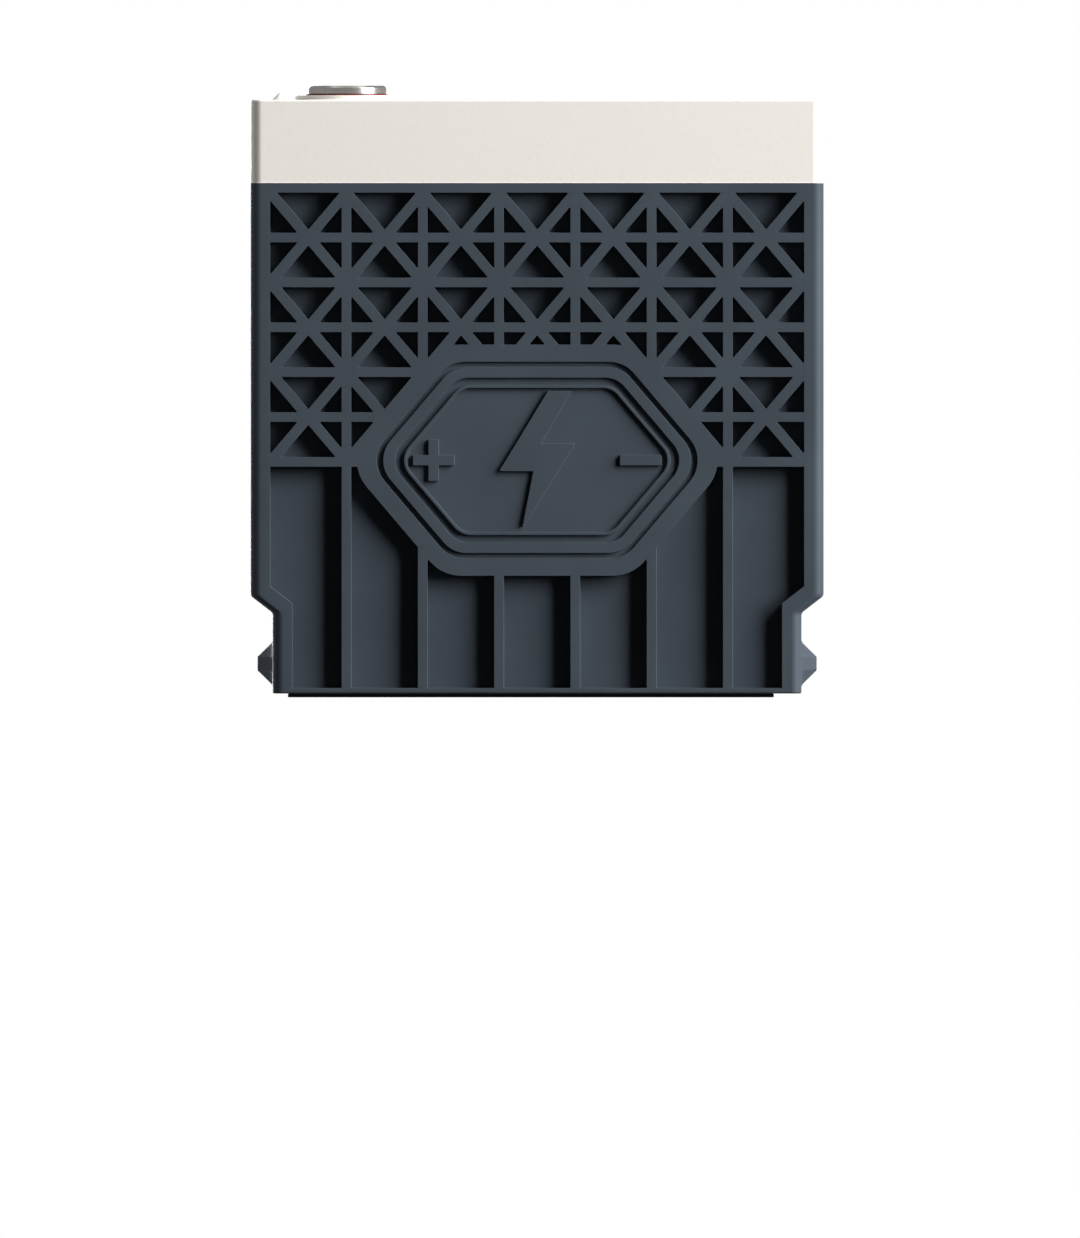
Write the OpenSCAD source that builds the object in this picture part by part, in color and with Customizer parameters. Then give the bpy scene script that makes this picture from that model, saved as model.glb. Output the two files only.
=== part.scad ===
// Sealed lead-acid battery with absorbed glass-mat cells.
// Six cells stand one behind another from front to back in a ribbed case.
// Both terminals are at the left, one at the front and one at the back.
// X is side to side, Y is front to back with the front at -Y, and Z is up.
// The origin is on the ground, under the middle of the battery.

/* [Case] */
// Width of the case and lid
case_w = 166; // [140:1:200]
// Depth of the case and lid, front to back
case_d = 126; // [106:1:152]
// Height of the case, from its underside to the lid seam
case_h = 147.9; // [124:0.1:178]
// Radius of the case's upright corners
case_corner_r = 3; // [1:0.5:5]
// Thickness of the case floor
floor_t = 3; // [2:0.5:5]
// Thickness of the case wall behind a pocket
wall_skin = 2.5; // [1.5:0.1:3]
// Thickness of the case wall beside a hold-down groove
groove_wall = 2.5; // [2:0.1:4]
// Thickness of the walls between cells
partition_t = 1.6; // [1.2:0.1:2.2]

/* [Ribs] */
// Depth of the pockets between the ribs
pocket_depth = 4; // [3:0.5:6]
// Width of the upright and level ribs
rib_w = 2.8; // [2:0.1:4]
// Width of the sloping ribs
brace_w = 3; // [2:0.1:4]
// Height of one row of the lattice
row_h = 13; // [11:0.5:15]
// Width of the plain rim down each side of the front and back faces
side_rim = 5.65; // [4:0.05:8]
// Width of the plain rim under the lid seam
top_rim = 2.8; // [2:0.1:5]
// Width of the plain rim along the base
base_rim = 1.6; // [1.2:0.1:4]

/* [Hold-down] */
// Depth of the groove cut into each side above the base
groove_depth = 6.4; // [5:0.1:8]
// Height of the top of the groove above the case's underside
groove_top = 28.3; // [26:0.1:34]
// Rise of the slope at the top of the groove
groove_slope_h = 4.95; // [3:0.05:6]
// How far each ledge stands out of the groove
ledge_out = 4.4; // [3:0.1:6]
// Height of a ledge where it meets the case
ledge_root_h = 12.6; // [11:0.1:14]
// Height of the flat tip of a ledge
ledge_tip_h = 3.9; // [2:0.1:5]
// Height of the bottom of a ledge above the case's underside
ledge_lift = 2.4; // [2:0.1:4]
// Distance from the ends of a ledge to the front and back faces
ledge_end_gap = 9; // [5:1:20]

/* [Emblem] */
// Width of the badge from point to point
badge_w = 112; // [90:1:118]
// Height of the badge
badge_h = 67; // [50:1:70]
// Height of the badge's middle above the case's underside
badge_z = 67.6; // [55:0.1:75]
// Width of the plain border of the badge
badge_border = 5; // [3:0.5:8]
// Depth of the badge's groove and field
badge_sink = 1; // [0.5:0.1:1.5]

/* [Lid] */
// Height of the lid, from the seam to its deck
lid_h = 24.15; // [22:0.05:30]
// Radius of the lid's upright corners
lid_corner_r = 3.2; // [1:0.1:5]
// Radius of the edge round the deck
lid_edge_r = 0.6; // [0.4:0.1:1]
// Thickness of the lid's outer wall
lid_wall_t = 3; // [2:0.1:4]
// Thickness of the deck
deck_t = 3.15; // [2.5:0.05:4]
// Thickness of the lid's inner wall round the cells
cell_frame_t = 2; // [1.5:0.1:3]
// Height of the raised panel between the terminals
panel_h = 1.95; // [1:0.05:3]
// Width of the raised panel at the deck
panel_w = 43.2; // [36:0.1:50]

/* [Terminals] */
// Distance from the left side to the middle of the terminals
terminal_inset = 27.8; // [24:0.1:36]
// Radius of a terminal's contact pad
pad_r = 11.5; // [9:0.1:12]
// Thickness of a terminal's contact pad
pad_t = 2.4; // [2:0.1:4]
// Radius of a terminal's shank inside the lid
shank_r = 7; // [6:0.1:8]
// Radius of the collar moulded round each terminal
collar_r = 15.25; // [13:0.05:16]
// Height of that collar above the deck
collar_h = 1.25; // [0.8:0.05:2]
// Thickness of a coloured polarity ring
ring_t = 0.4; // [0.3:0.1:0.8]
// Core radius of the M6 thread in a terminal
thread_r = 2.5; // [2:0.1:3]
// Depth of that thread
thread_depth = 10; // [8:0.5:12]
// Radius of a lead post
post_r = 5; // [4:0.1:5.5]

/* [Cells] */
// Thickness of one layer of glass mat
mat_t = 0.7; // [0.5:0.05:0.9]
// Height of the free space between the plates and the lid seam
head_room = 24; // [22:0.5:28]
// Height of a plate's lug
lug_h = 5; // [4:0.5:6]
// Width of a plate's lug
lug_w = 12; // [8:0.5:16]
// Thickness of a strap
strap_t = 5; // [3:0.5:6]
// Height of the upright tab that carries a strap's weld
tab_h = 12; // [10:0.5:13]
// Radius of a weld through a partition
weld_r = 4.5; // [3:0.1:5]

/* [Vents] */
// Width of the vent strip
strip_w = 20; // [16:0.5:26]
// Thickness of the vent strip
strip_t = 2; // [1.5:0.1:3]
// Depth of the vent trough below the deck
trough_depth = 8; // [7:0.1:9]
// Radius of a rubber valve
valve_r = 4.2; // [3.5:0.1:5]
// Radius of the nipple under a valve
nipple_r = 2.5; // [2:0.1:3]
// Height of that nipple
nipple_h = 4; // [3:0.1:4.5]

/* [Base] */
// Thickness of the rubber base pad
base_pad_t = 1.1; // [0.8:0.1:3]
// Distance from the base pad to the left face of the groove
base_pad_left = 4.4; // [2:0.1:12]
// Distance from the base pad to the right face of the groove
base_pad_right = 8; // [2:0.1:12]
// Distance from the base pad to the front and back faces
base_pad_front = 6; // [4:0.5:12]

/* [Hidden] */
$fn = 64;
cut = 1;                     // how far a cut runs past the face it opens
cell_count = 6;
front_columns = 7;
side_columns = 5;
lattice_rows = 6;
base_edge_r = 0.35;          // rounding of the case's lowest edge
positive_per_cell = 3;
negative_per_cell = positive_per_cell + 1;
plate_ratio = 1.25;          // a positive plate's thickness over a negative plate's
stack_clear = 0.2;           // between a cell's plates and its walls
plate_side_clear = 3.1;      // between the plates' edges and the case
mat_overhang = 1.5;          // how far a mat reaches past the plates at the sides
mat_rise = 2;                // how far a mat reaches above the plates
strap_w = 14;
strap_clear = 1;             // between a strap and its cell's walls
tab_t = 3;
shank_clear = 0.05;          // round a terminal's shank
post_clear = 0.3;            // round a post where it enters the lid
corner_wall = 1.2;           // between the pockets of two faces that meet at a corner
post_lead_in = 0.5;          // how much wider a post's hole is at the bottom
post_wall_clear = 0.5;       // between a post and the partition beside it
shank_h = 11.8;
boss_wall = 3;               // round a shank
boss_drop = 15;              // how far a boss hangs below the deck
boss_floor_t = 2;            // ledge at the bottom of a boss that carries the seal
ring_lip = 0.4;              // how far a polarity ring shows round its pad
pad_chamfer = 0.6;
panel_gap = 3;               // from the panel to the collars
panel_left = 6.2;            // from the panel to the lid's left side
mark_r = 5;                  // half the length of a polarity mark
mark_w = 2.4;
mark_depth = 0.6;
strip_clear = 0.15;          // round the vent strip
strip_ledge = 2;             // ledge that the vent strip rests on
trough_end_gap = 1.3;        // from the end valves to the ends of the trough
trough_wall_t = 2.5;
vent_r = 1.2;
valve_lift = 0.3;            // between a valve's skirt and the trough floor
arrestor_gap = 1.1;          // from the arrestor to the valves beside it
arrestor_t = 2;
arrestor_seat = 1;           // how far the arrestor sits up into the strip
weep_count = 6;

// Heights, from the ground up
case_z = base_pad_t;
seam_z = case_z + case_h;
deck_z = seam_z + lid_h;
deck_under_z = deck_z - deck_t;
floor_z = case_z + floor_t;
groove_top_z = case_z + groove_top;
groove_low_z = groove_top_z - groove_slope_h;
lattice_top_z = seam_z - top_rim;
lattice_low_z = lattice_top_z - lattice_rows * row_h;

// Width of the plain rim down each side of the two side faces
end_rim = pocket_depth + corner_wall;

// Inside of the case
base_w = case_w - 2 * groove_depth;
cavity_w = min(base_w - 2 * groove_wall, case_w - 2 * (pocket_depth + wall_skin));
cavity_d = case_d - 2 * (pocket_depth + wall_skin);
cell_d = (cavity_d - (cell_count - 1) * partition_t) / cell_count;
cell_pitch = cell_d + partition_t;
end_cell_y = (cell_count - 1) / 2 * cell_pitch;

// Plates and mats
stack_d = cell_d - 2 * stack_clear;
mat_layers = 2 * positive_per_cell;
plates_d = stack_d - mat_layers * mat_t;
negative_t = plates_d / (negative_per_cell + plate_ratio * positive_per_cell);
positive_t = plate_ratio * negative_t;
plate_w = cavity_w - 2 * plate_side_clear;
plate_low_z = floor_z + mat_t;
plate_top_z = seam_z - head_room;
strap_z = plate_top_z + lug_h;
strap_top_z = strap_z + strap_t;
weld_z = strap_top_z + tab_h / 2;

// Terminals
terminal_x = -case_w / 2 + terminal_inset;
terminal_y = cavity_d / 2 - cell_d + post_r + post_wall_clear;
ring_z = deck_z + collar_h;
contact_z = ring_z + ring_t;
shank_z = contact_z - shank_h;
bore_r = shank_r + shank_clear;
boss_z = deck_under_z - boss_drop;
seal_r = (bore_r - post_r) / 2;

// Vents
trough_z = deck_z - trough_depth;
strip_z = deck_z - strip_t;
trough_w = strip_w - 2 * strip_ledge;
trough_d = 2 * (end_cell_y + valve_r + trough_end_gap);
strip_d = trough_d + 2 * strip_ledge;
valve_h = strip_z - trough_z - 2 * valve_lift;
arrestor_r = cell_pitch / 2 - valve_r - arrestor_gap;
weep_pitch = arrestor_r / 2;
weep_r = 0.3 * weep_pitch;

case_colour = [0.26, 0.285, 0.315];
lid_colour = [0.9, 0.88, 0.85];
lead_colour = [0.42, 0.43, 0.45];
plated_colour = [0.7, 0.68, 0.66];
brown_paste = [0.27, 0.15, 0.11];
grey_paste = [0.45, 0.46, 0.48];
mat_colour = [0.93, 0.93, 0.9];
black_rubber = [0.04, 0.04, 0.045];
red_plastic = [0.75, 0.08, 0.07];
black_plastic = [0.06, 0.06, 0.07];
porous_grey = [0.6, 0.6, 0.58];

// Node names: each cell has its own plates, mats, straps and valve
function numbered(name) = [for (cell = [1:cell_count]) str(name, "_", cell)];

// ---------- Plane geometry ----------

function cross_of(a, b) = a[0] * b[1] - a[1] * b[0];
function left_of(v) = [-v[1], v[0]] / norm(v);

// The line from p to q, moved to its left by h, as a point and a direction
function moved_line(p, q, h) = [p + h * left_of(q - p), q - p];

// The point where two such lines cross
function meeting(a, b) = a[0] + a[1] * cross_of(b[0] - a[0], b[1]) / cross_of(a[1], b[1]);

// An anticlockwise outline with edge i (from point i to the next) moved inwards by h[i]
function inset_outline(points, h) = [
    for (i = [0:len(points) - 1])
        let (before = (i + len(points) - 1) % len(points), after = (i + 1) % len(points))
        meeting(
            moved_line(points[before], points[i], h[before]),
            moved_line(points[i], points[after], h[i])
        )
];

module rounded_rectangle(w, d, r) {
    square([w - 2 * r, d], center = true);
    square([w, d - 2 * r], center = true);
    for (x = [-1, 1], y = [-1, 1])
        translate([x * (w / 2 - r), y * (d / 2 - r)]) circle(r);
}

// A rectangle from z = low to z = high, with its top corners rounded
module round_topped(w, low, high, r) {
    translate([-w / 2, low]) square([w, high - low - r]);
    translate([-w / 2 + r, high - r - cut]) square([w - 2 * r, r + cut]);
    for (x = [-1, 1]) translate([x * (w / 2 - r), high - r]) circle(r);
}

// Stands a flat shape up in the XZ plane and gives it a depth along Y, centred
module along_y(d) {
    rotate([90, 0, 0]) linear_extrude(d, center = true) children();
}

module along_x(w) {
    rotate([90, 0, 90]) linear_extrude(w, center = true) children();
}

// ---------- Faces of the case ----------

// The front face, anticlockwise from its left-hand foot
front_outline = [
    [-base_w / 2, case_z],
    [base_w / 2, case_z],
    [base_w / 2, groove_low_z],
    [case_w / 2, groove_top_z],
    [case_w / 2, seam_z],
    [-case_w / 2, seam_z],
    [-case_w / 2, groove_top_z],
    [-base_w / 2, groove_low_z]
];
front_rims = [
    base_rim, side_rim, side_rim, side_rim, top_rim, side_rim, side_rim, side_rim
];

// The two side faces stop above the groove
side_outline = [
    [-case_d / 2, groove_top_z],
    [case_d / 2, groove_top_z],
    [case_d / 2, seam_z],
    [-case_d / 2, seam_z]
];
side_rims = [side_rim, end_rim, top_rim, end_rim];

// The three triangles of one lattice cell. The braces run from the two corners of one level
// rib to the middle of the next, upwards and downwards by turns.
module lattice_cell(x, w, z, left, right, low, high, points_down) {
    wide = points_down ? z + row_h : z;
    tip = points_down ? z : z + row_h;
    wide_rib = points_down ? high : low;
    tip_rib = points_down ? low : high;
    brace = brace_w / 2;
    middle = [x + w / 2, tip];
    big = [[x, wide], middle, [x + w, wide]];
    small_left = [[x, wide], [x, tip], middle];
    small_right = [middle, [x + w, tip], [x + w, wide]];
    if (points_down) {
        polygon(inset_outline(big, [brace, brace, wide_rib]));
        polygon(inset_outline(small_left, [left, tip_rib, brace]));
        polygon(inset_outline(small_right, [tip_rib, right, brace]));
    } else {
        polygon(inset_outline([big[2], big[1], big[0]], [brace, brace, wide_rib]));
        polygon(inset_outline([middle, small_left[1], small_left[0]], [tip_rib, left, brace]));
        polygon(inset_outline([small_right[2], small_right[1], middle], [right, tip_rib, brace]));
    }
}

module lattice(field_w, columns) {
    pitch = field_w / columns;
    half = rib_w / 2;
    for (column = [0:columns - 1], row = [0:lattice_rows - 1])
        lattice_cell(
            x = -field_w / 2 + column * pitch,
            w = pitch,
            z = lattice_top_z - (row + 1) * row_h,
            left = column == 0 ? 0 : half,
            right = column == columns - 1 ? 0 : half,
            low = half,
            high = row == 0 ? 0 : half,
            points_down = row % 2 == 0
        );
}

// Open channels between the upright ribs, below the lattice
module channels(field_w, columns, outline, rims) {
    pitch = field_w / columns;
    top = lattice_low_z - rib_w / 2;
    intersection() {
        polygon(inset_outline(outline, rims));
        for (column = [0:columns - 1]) {
            left = column == 0 ? 0 : rib_w / 2;
            right = column == columns - 1 ? 0 : rib_w / 2;
            translate([-field_w / 2 + column * pitch + left, 0])
                square([pitch - left - right, top]);
        }
    }
}

module face_pockets(face_w, rim, columns, outline, rims) {
    field_w = face_w - 2 * rim;
    lattice(field_w, columns);
    channels(field_w, columns, outline, rims);
}

// ---------- Badge on the front ----------

badge_corner_r = 12;
badge_slope = row_h / ((case_w - 2 * side_rim) / front_columns / 2);
badge_shoulder = badge_w / 2 - badge_h / 2 / badge_slope;
badge_outline = [
    [badge_w / 2, 0],
    [badge_shoulder, badge_h / 2],
    [-badge_shoulder, badge_h / 2],
    [-badge_w / 2, 0],
    [-badge_shoulder, -badge_h / 2],
    [badge_shoulder, -badge_h / 2]
];
badge_edges = [1, 1, 1, 1, 1, 1];
badge_groove_w = 1.6;
badge_band_w = 3;
badge_line_gap = 2.2;
badge_line_w = 0.8;
bolt_h = 40;
bolt_w = 22;
sign_x = 30;
sign_r = 6;
sign_w = 3;

// The badge's outline, moved inwards by a distance, with its corners rounded
module badge_shape(inwards) {
    r = badge_corner_r - inwards / 2;
    translate([0, case_z + badge_z])
        offset(r) polygon(inset_outline(badge_outline, (inwards + r) * badge_edges));
}

// A line of even width that follows the badge's outline, at a distance inside it
module badge_ring(inwards, w) {
    difference() {
        badge_shape(inwards);
        badge_shape(inwards + w);
    }
}

// A lightning bolt: a point up, a step across the middle and a point down
module bolt_shape() {
    translate([0, case_z + badge_z])
        polygon([
            [bolt_w * 0.14, bolt_h / 2],
            [-bolt_w / 2, -bolt_h * 0.08],
            [-bolt_w * 0.05, -bolt_h * 0.08],
            [-bolt_w * 0.2, -bolt_h / 2],
            [bolt_w / 2, bolt_h * 0.12],
            [bolt_w * 0.05, bolt_h * 0.12],
            [bolt_w * 0.45, bolt_h / 2]
        ]);
}

module plus_shape(reach, w) {
    square([2 * reach, w], center = true);
    square([w, 2 * reach], center = true);
}

module minus_shape(reach, w) {
    square([2 * reach, w], center = true);
}

module badge_recess() {
    groove_in = badge_border;
    band_in = groove_in + badge_groove_w;
    field_in = band_in + badge_band_w;
    line_in = field_in + badge_line_gap;
    badge_ring(groove_in, badge_groove_w);
    difference() {
        badge_shape(field_in);
        badge_ring(line_in, badge_line_w);
        bolt_shape();
        translate([-sign_x, case_z + badge_z]) plus_shape(sign_r, sign_w);
        translate([sign_x, case_z + badge_z]) minus_shape(sign_r, sign_w);
    }
}

// ---------- Case ----------

module case_body() {
    intersection() {
        along_y(case_d) polygon(front_outline);
        union() {
            translate([0, 0, groove_low_z])
                linear_extrude(seam_z - groove_low_z)
                    rounded_rectangle(case_w, case_d, case_corner_r);
            translate([0, 0, case_z + base_edge_r])
                linear_extrude(groove_low_z - case_z - base_edge_r)
                    rounded_rectangle(base_w, case_d, case_corner_r);
            translate([0, 0, case_z])
                linear_extrude(base_edge_r)
                    rounded_rectangle(
                        base_w - 2 * base_edge_r,
                        case_d - 2 * base_edge_r,
                        case_corner_r - base_edge_r
                    );
        }
    }
}

// Cuts a flat shape into the front face; turn it about Z for the other faces
module cut_into_face(distance, depth) {
    translate([0, -distance, 0]) rotate([90, 0, 0]) translate([0, 0, -depth])
        linear_extrude(depth + cut) children();
}

// A ledge's root is a rectangle with its corners cut off, and its tip a smaller rectangle
module ledge() {
    root_len = case_d - 2 * ledge_end_gap;
    slope = (ledge_root_h - ledge_tip_h) / 2;
    tip_len = root_len - 2 * ledge_out;
    mid_z = case_z + ledge_lift + ledge_root_h / 2;
    thin = 0.01;
    translate([base_w / 2, 0, mid_z]) rotate([90, 0, 90]) hull() {
        translate([0, 0, -groove_wall / 2]) linear_extrude(groove_wall / 2) {
            square([root_len, ledge_tip_h], center = true);
            square([root_len - 2 * slope, ledge_root_h], center = true);
        }
        translate([0, 0, ledge_out - thin]) linear_extrude(thin)
            square([tip_len - 2 * slope, ledge_tip_h], center = true);
    }
}

function cell_y(cell) = (cell - 1) * cell_pitch - end_cell_y;

// Cell 1 has its positive side at the left, cell 2 at the right, and so on
function positive_x(cell) = cell % 2 == 1 ? terminal_x : -terminal_x;
function negative_x(cell) = -positive_x(cell);
function partition_y(cell) = cell_y(cell) + cell_pitch / 2;

module cell_spaces(low, high) {
    for (cell = [1:cell_count])
        translate([-cavity_w / 2, cell_y(cell) - cell_d / 2, low])
            cube([cavity_w, cell_d, high - low]);
}

// One weld joins each cell's negative strap to the next cell's positive strap
module welds(length) {
    for (cell = [1:cell_count - 1])
        translate([negative_x(cell), partition_y(cell), weld_z])
            rotate([90, 0, 0]) cylinder(h = length, r = weld_r, center = true);
}

module case() {
    color(case_colour) difference() {
        union() {
            case_body();
            ledge();
            mirror([1, 0, 0]) ledge();
        }
        cell_spaces(floor_z, seam_z + cut);
        welds(partition_t + cut);
        cut_into_face(case_d / 2, pocket_depth) difference() {
            face_pockets(case_w, side_rim, front_columns, front_outline, front_rims);
            badge_shape(0);
        }
        cut_into_face(case_d / 2, badge_sink) badge_recess();
        rotate([0, 0, 180]) cut_into_face(case_d / 2, pocket_depth)
            face_pockets(case_w, side_rim, front_columns, front_outline, front_rims);
        for (turn = [90, 270]) rotate([0, 0, turn]) cut_into_face(case_w / 2, pocket_depth)
            face_pockets(case_d, end_rim, side_columns, side_outline, side_rims);
    }
}

// ---------- Lid ----------

module lid_body() {
    intersection() {
        translate([0, 0, seam_z]) linear_extrude(lid_h)
            rounded_rectangle(case_w, case_d, lid_corner_r);
        along_y(case_d + cut) round_topped(case_w, seam_z, deck_z, lid_edge_r);
        along_x(case_w + cut) round_topped(case_d, seam_z, deck_z, lid_edge_r);
    }
}

// The raised panel has 45 degree sides all round
module raised_panel() {
    panel_d = 2 * (terminal_y - collar_r - panel_gap);
    middle_x = -case_w / 2 + panel_left + panel_w / 2;
    translate([middle_x, 0, deck_z]) intersection() {
        along_y(panel_d) panel_side(panel_w);
        along_x(panel_w) panel_side(panel_d);
    }
}

module panel_side(w) {
    polygon([
        [-w / 2, -cut],
        [w / 2, -cut],
        [w / 2, 0],
        [w / 2 - panel_h, panel_h],
        [-w / 2 + panel_h, panel_h],
        [-w / 2, 0]
    ]);
}

module at_terminals(z) {
    for (y = [-1, 1]) translate([terminal_x, y * terminal_y, z]) children();
}

module nipple() {
    cylinder(h = nipple_h, r = nipple_r);
}

module vent_hole() {
    translate([0, 0, -trough_wall_t - cut])
        cylinder(h = nipple_h + trough_wall_t + 2 * cut, r = vent_r);
}

// Wider at the bottom, so that it finds the post as the lid comes down
module post_hole() {
    top_r = post_r + post_clear;
    cylinder(h = boss_floor_t + 2 * cut, r1 = top_r + post_lead_in, r2 = top_r);
}

// The shell, the walls round and between the cells, and the bosses under the terminals
module lid_walls() {
    difference() {
        lid_body();
        translate([0, 0, seam_z - cut]) linear_extrude(deck_under_z - seam_z + cut)
            square([case_w - 2 * lid_wall_t, case_d - 2 * lid_wall_t], center = true);
    }
    difference() {
        translate([0, 0, seam_z]) linear_extrude(deck_under_z - seam_z)
            square([cavity_w + 2 * cell_frame_t, cavity_d + 2 * cell_frame_t], center = true);
        cell_spaces(seam_z - cut, deck_under_z + cut);
    }
    at_terminals(boss_z) cylinder(h = deck_under_z - boss_z, r = bore_r + boss_wall);
    at_terminals(deck_under_z) cylinder(h = ring_z - deck_under_z, r = collar_r);
    translate([0, 0, trough_z - trough_wall_t]) linear_extrude(deck_under_z - trough_z + trough_wall_t)
        square([trough_w + 2 * trough_wall_t, trough_d + 2 * trough_wall_t], center = true);
    raised_panel();
}

module lid() {
    mark_x = -case_w / 2 + panel_left + panel_w / 2;
    mark_y = terminal_y - collar_r - panel_gap - panel_h - 2 * mark_r;
    color(lid_colour) {
        difference() {
            lid_walls();
            at_terminals(boss_z + boss_floor_t)
                cylinder(h = ring_z - boss_z, r = bore_r);
            at_terminals(boss_z - cut) post_hole();
            translate([0, 0, trough_z]) linear_extrude(trough_depth + cut)
                square([trough_w, trough_d], center = true);
            translate([0, 0, strip_z]) linear_extrude(strip_t + cut)
                square([strip_w, strip_d], center = true);
            for (cell = [1:cell_count]) translate([0, cell_y(cell), trough_z]) vent_hole();
            translate([mark_x, 0, deck_z + panel_h - mark_depth]) linear_extrude(mark_depth + cut) {
                translate([0, -mark_y]) plus_shape(mark_r, mark_w);
                translate([0, mark_y]) minus_shape(mark_r, mark_w);
            }
        }
        for (cell = [1:cell_count]) translate([0, cell_y(cell), trough_z]) difference() {
            nipple();
            vent_hole();
        }
    }
}

// ---------- Vents ----------

module vent_strip() {
    color(lid_colour) difference() {
        translate([0, 0, strip_z]) linear_extrude(strip_t)
            square([strip_w - 2 * strip_clear, strip_d - 2 * strip_clear], center = true);
        translate([0, 0, strip_z - cut]) cylinder(h = arrestor_seat + cut, r = arrestor_r);
        translate([0, 0, strip_z]) {
            cylinder(h = strip_t + cut, r = weep_r);
            for (i = [1:weep_count]) rotate([0, 0, i * 360 / weep_count])
                translate([weep_pitch, 0, 0]) cylinder(h = strip_t + cut, r = weep_r);
        }
    }
}

module flame_arrestor() {
    color(porous_grey) translate([0, 0, strip_z + arrestor_seat - arrestor_t])
        cylinder(h = arrestor_t, r = arrestor_r);
}

// A rubber cap stretched over the nipple
module vent_valve(cell) {
    color(black_rubber) translate([0, cell_y(cell), trough_z + valve_lift]) difference() {
        cylinder(h = valve_h, r = valve_r);
        translate([0, 0, -cut]) cylinder(h = nipple_h - valve_lift + cut, r = nipple_r);
    }
}

// ---------- Cells ----------

// Plates stand in the order negative, positive, negative; a mat covers each positive plate
plate_step = negative_t + positive_t + 2 * mat_t;
function stack_low_y(cell) = cell_y(cell) - stack_d / 2;
function negative_y(cell, i) = stack_low_y(cell) + i * plate_step;
function positive_y(cell, i) = stack_low_y(cell) + negative_t + mat_t + i * plate_step;

// A plate and its lug, standing on y = 0 and t thick
module plate(t, lug_x) {
    rotate([90, 0, 0]) translate([0, 0, -t]) linear_extrude(t) {
        translate([-plate_w / 2, plate_low_z]) square([plate_w, plate_top_z - plate_low_z]);
        translate([lug_x - lug_w / 2, plate_top_z - cut]) square([lug_w, lug_h + cut]);
    }
}

module positive_plates(cell) {
    color(brown_paste) for (i = [0:positive_per_cell - 1])
        translate([0, positive_y(cell, i), 0]) plate(positive_t, positive_x(cell));
}

module negative_plates(cell) {
    color(grey_paste) for (i = [0:negative_per_cell - 1])
        translate([0, negative_y(cell, i), 0]) plate(negative_t, negative_x(cell));
}

// Each mat is folded under its positive plate and covers both of its sides
module glass_mats(cell) {
    mat_top_z = plate_top_z + mat_rise;
    color(mat_colour) for (i = [0:positive_per_cell - 1])
        translate([0, positive_y(cell, i), 0])
            along_x(plate_w + 2 * mat_overhang) {
                translate([-mat_t, floor_z]) square([positive_t + 2 * mat_t, mat_t]);
                translate([-mat_t, floor_z]) square([mat_t, mat_top_z - floor_z]);
                translate([positive_t, floor_z]) square([mat_t, mat_top_z - floor_z]);
            }
}

// A bar over the lugs, with a tab up the partition on the side it is welded through.
// side is -1 for a tab towards the front, 1 towards the back and 0 for none.
module strap(cell, x, side) {
    color(lead_colour) {
        translate([x - strap_w / 2, cell_y(cell) - cell_d / 2 + strap_clear, strap_z])
            cube([strap_w, cell_d - 2 * strap_clear, strap_t]);
        if (side != 0)
            translate([x - strap_w / 2, cell_y(cell) + side * (cell_d - tab_t) / 2 - tab_t / 2, strap_z])
                cube([strap_w, tab_t, strap_t + tab_h]);
    }
}

module positive_strap(cell) {
    strap(cell, positive_x(cell), cell == 1 ? 0 : -1);
}

module negative_strap(cell) {
    strap(cell, negative_x(cell), cell == cell_count ? 0 : 1);
}

module cell_welds() {
    color(lead_colour) welds(partition_t);
}

// ---------- Terminals ----------

module post(y) {
    color(lead_colour) translate([terminal_x, y, strap_top_z])
        cylinder(h = shank_z - strap_top_z, r = post_r);
}

// A rubber ring round each post, resting on the ledge in its boss
module post_seals() {
    color(black_rubber) at_terminals(boss_z + boss_floor_t + seal_r)
        rotate_extrude() translate([post_r + seal_r, 0]) circle(seal_r);
}

// A plated pad on a threaded shank
module terminal(y) {
    drill_tip_h = 1.5;
    color(plated_colour) translate([terminal_x, y, 0]) rotate_extrude() polygon([
        [0, shank_z],
        [shank_r, shank_z],
        [shank_r, contact_z],
        [pad_r, contact_z],
        [pad_r, contact_z + pad_t - pad_chamfer],
        [pad_r - pad_chamfer, contact_z + pad_t],
        [thread_r, contact_z + pad_t],
        [thread_r, contact_z + pad_t - thread_depth],
        [0, contact_z + pad_t - thread_depth - drill_tip_h]
    ]);
}

module polarity_ring(y) {
    translate([terminal_x, y, ring_z]) difference() {
        cylinder(h = ring_t, r = pad_r + ring_lip);
        translate([0, 0, -cut]) cylinder(h = ring_t + 2 * cut, r = bore_r);
    }
}

// ---------- Base ----------

module base_pad() {
    w = base_w - base_pad_left - base_pad_right;
    d = case_d - 2 * base_pad_front;
    corner_r = 2;
    color(black_rubber) translate([(base_pad_left - base_pad_right) / 2, 0, 0])
        linear_extrude(base_pad_t) rounded_rectangle(w, d, corner_r);
}

// ---------- The battery ----------

case();
lid();
base_pad();
vent_strip();
flame_arrestor();
for (cell = [1:cell_count]) {
    vent_valve(cell);
    positive_plates(cell);
    negative_plates(cell);
    glass_mats(cell);
    positive_strap(cell);
    negative_strap(cell);
}
cell_welds();
post(-terminal_y);  // positive_post
post(terminal_y);  // negative_post
post_seals();
terminal(-terminal_y);  // positive_terminal
terminal(terminal_y);  // negative_terminal
color(red_plastic) polarity_ring(-terminal_y);  // positive_ring
color(black_plastic) polarity_ring(terminal_y);  // negative_ring
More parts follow.
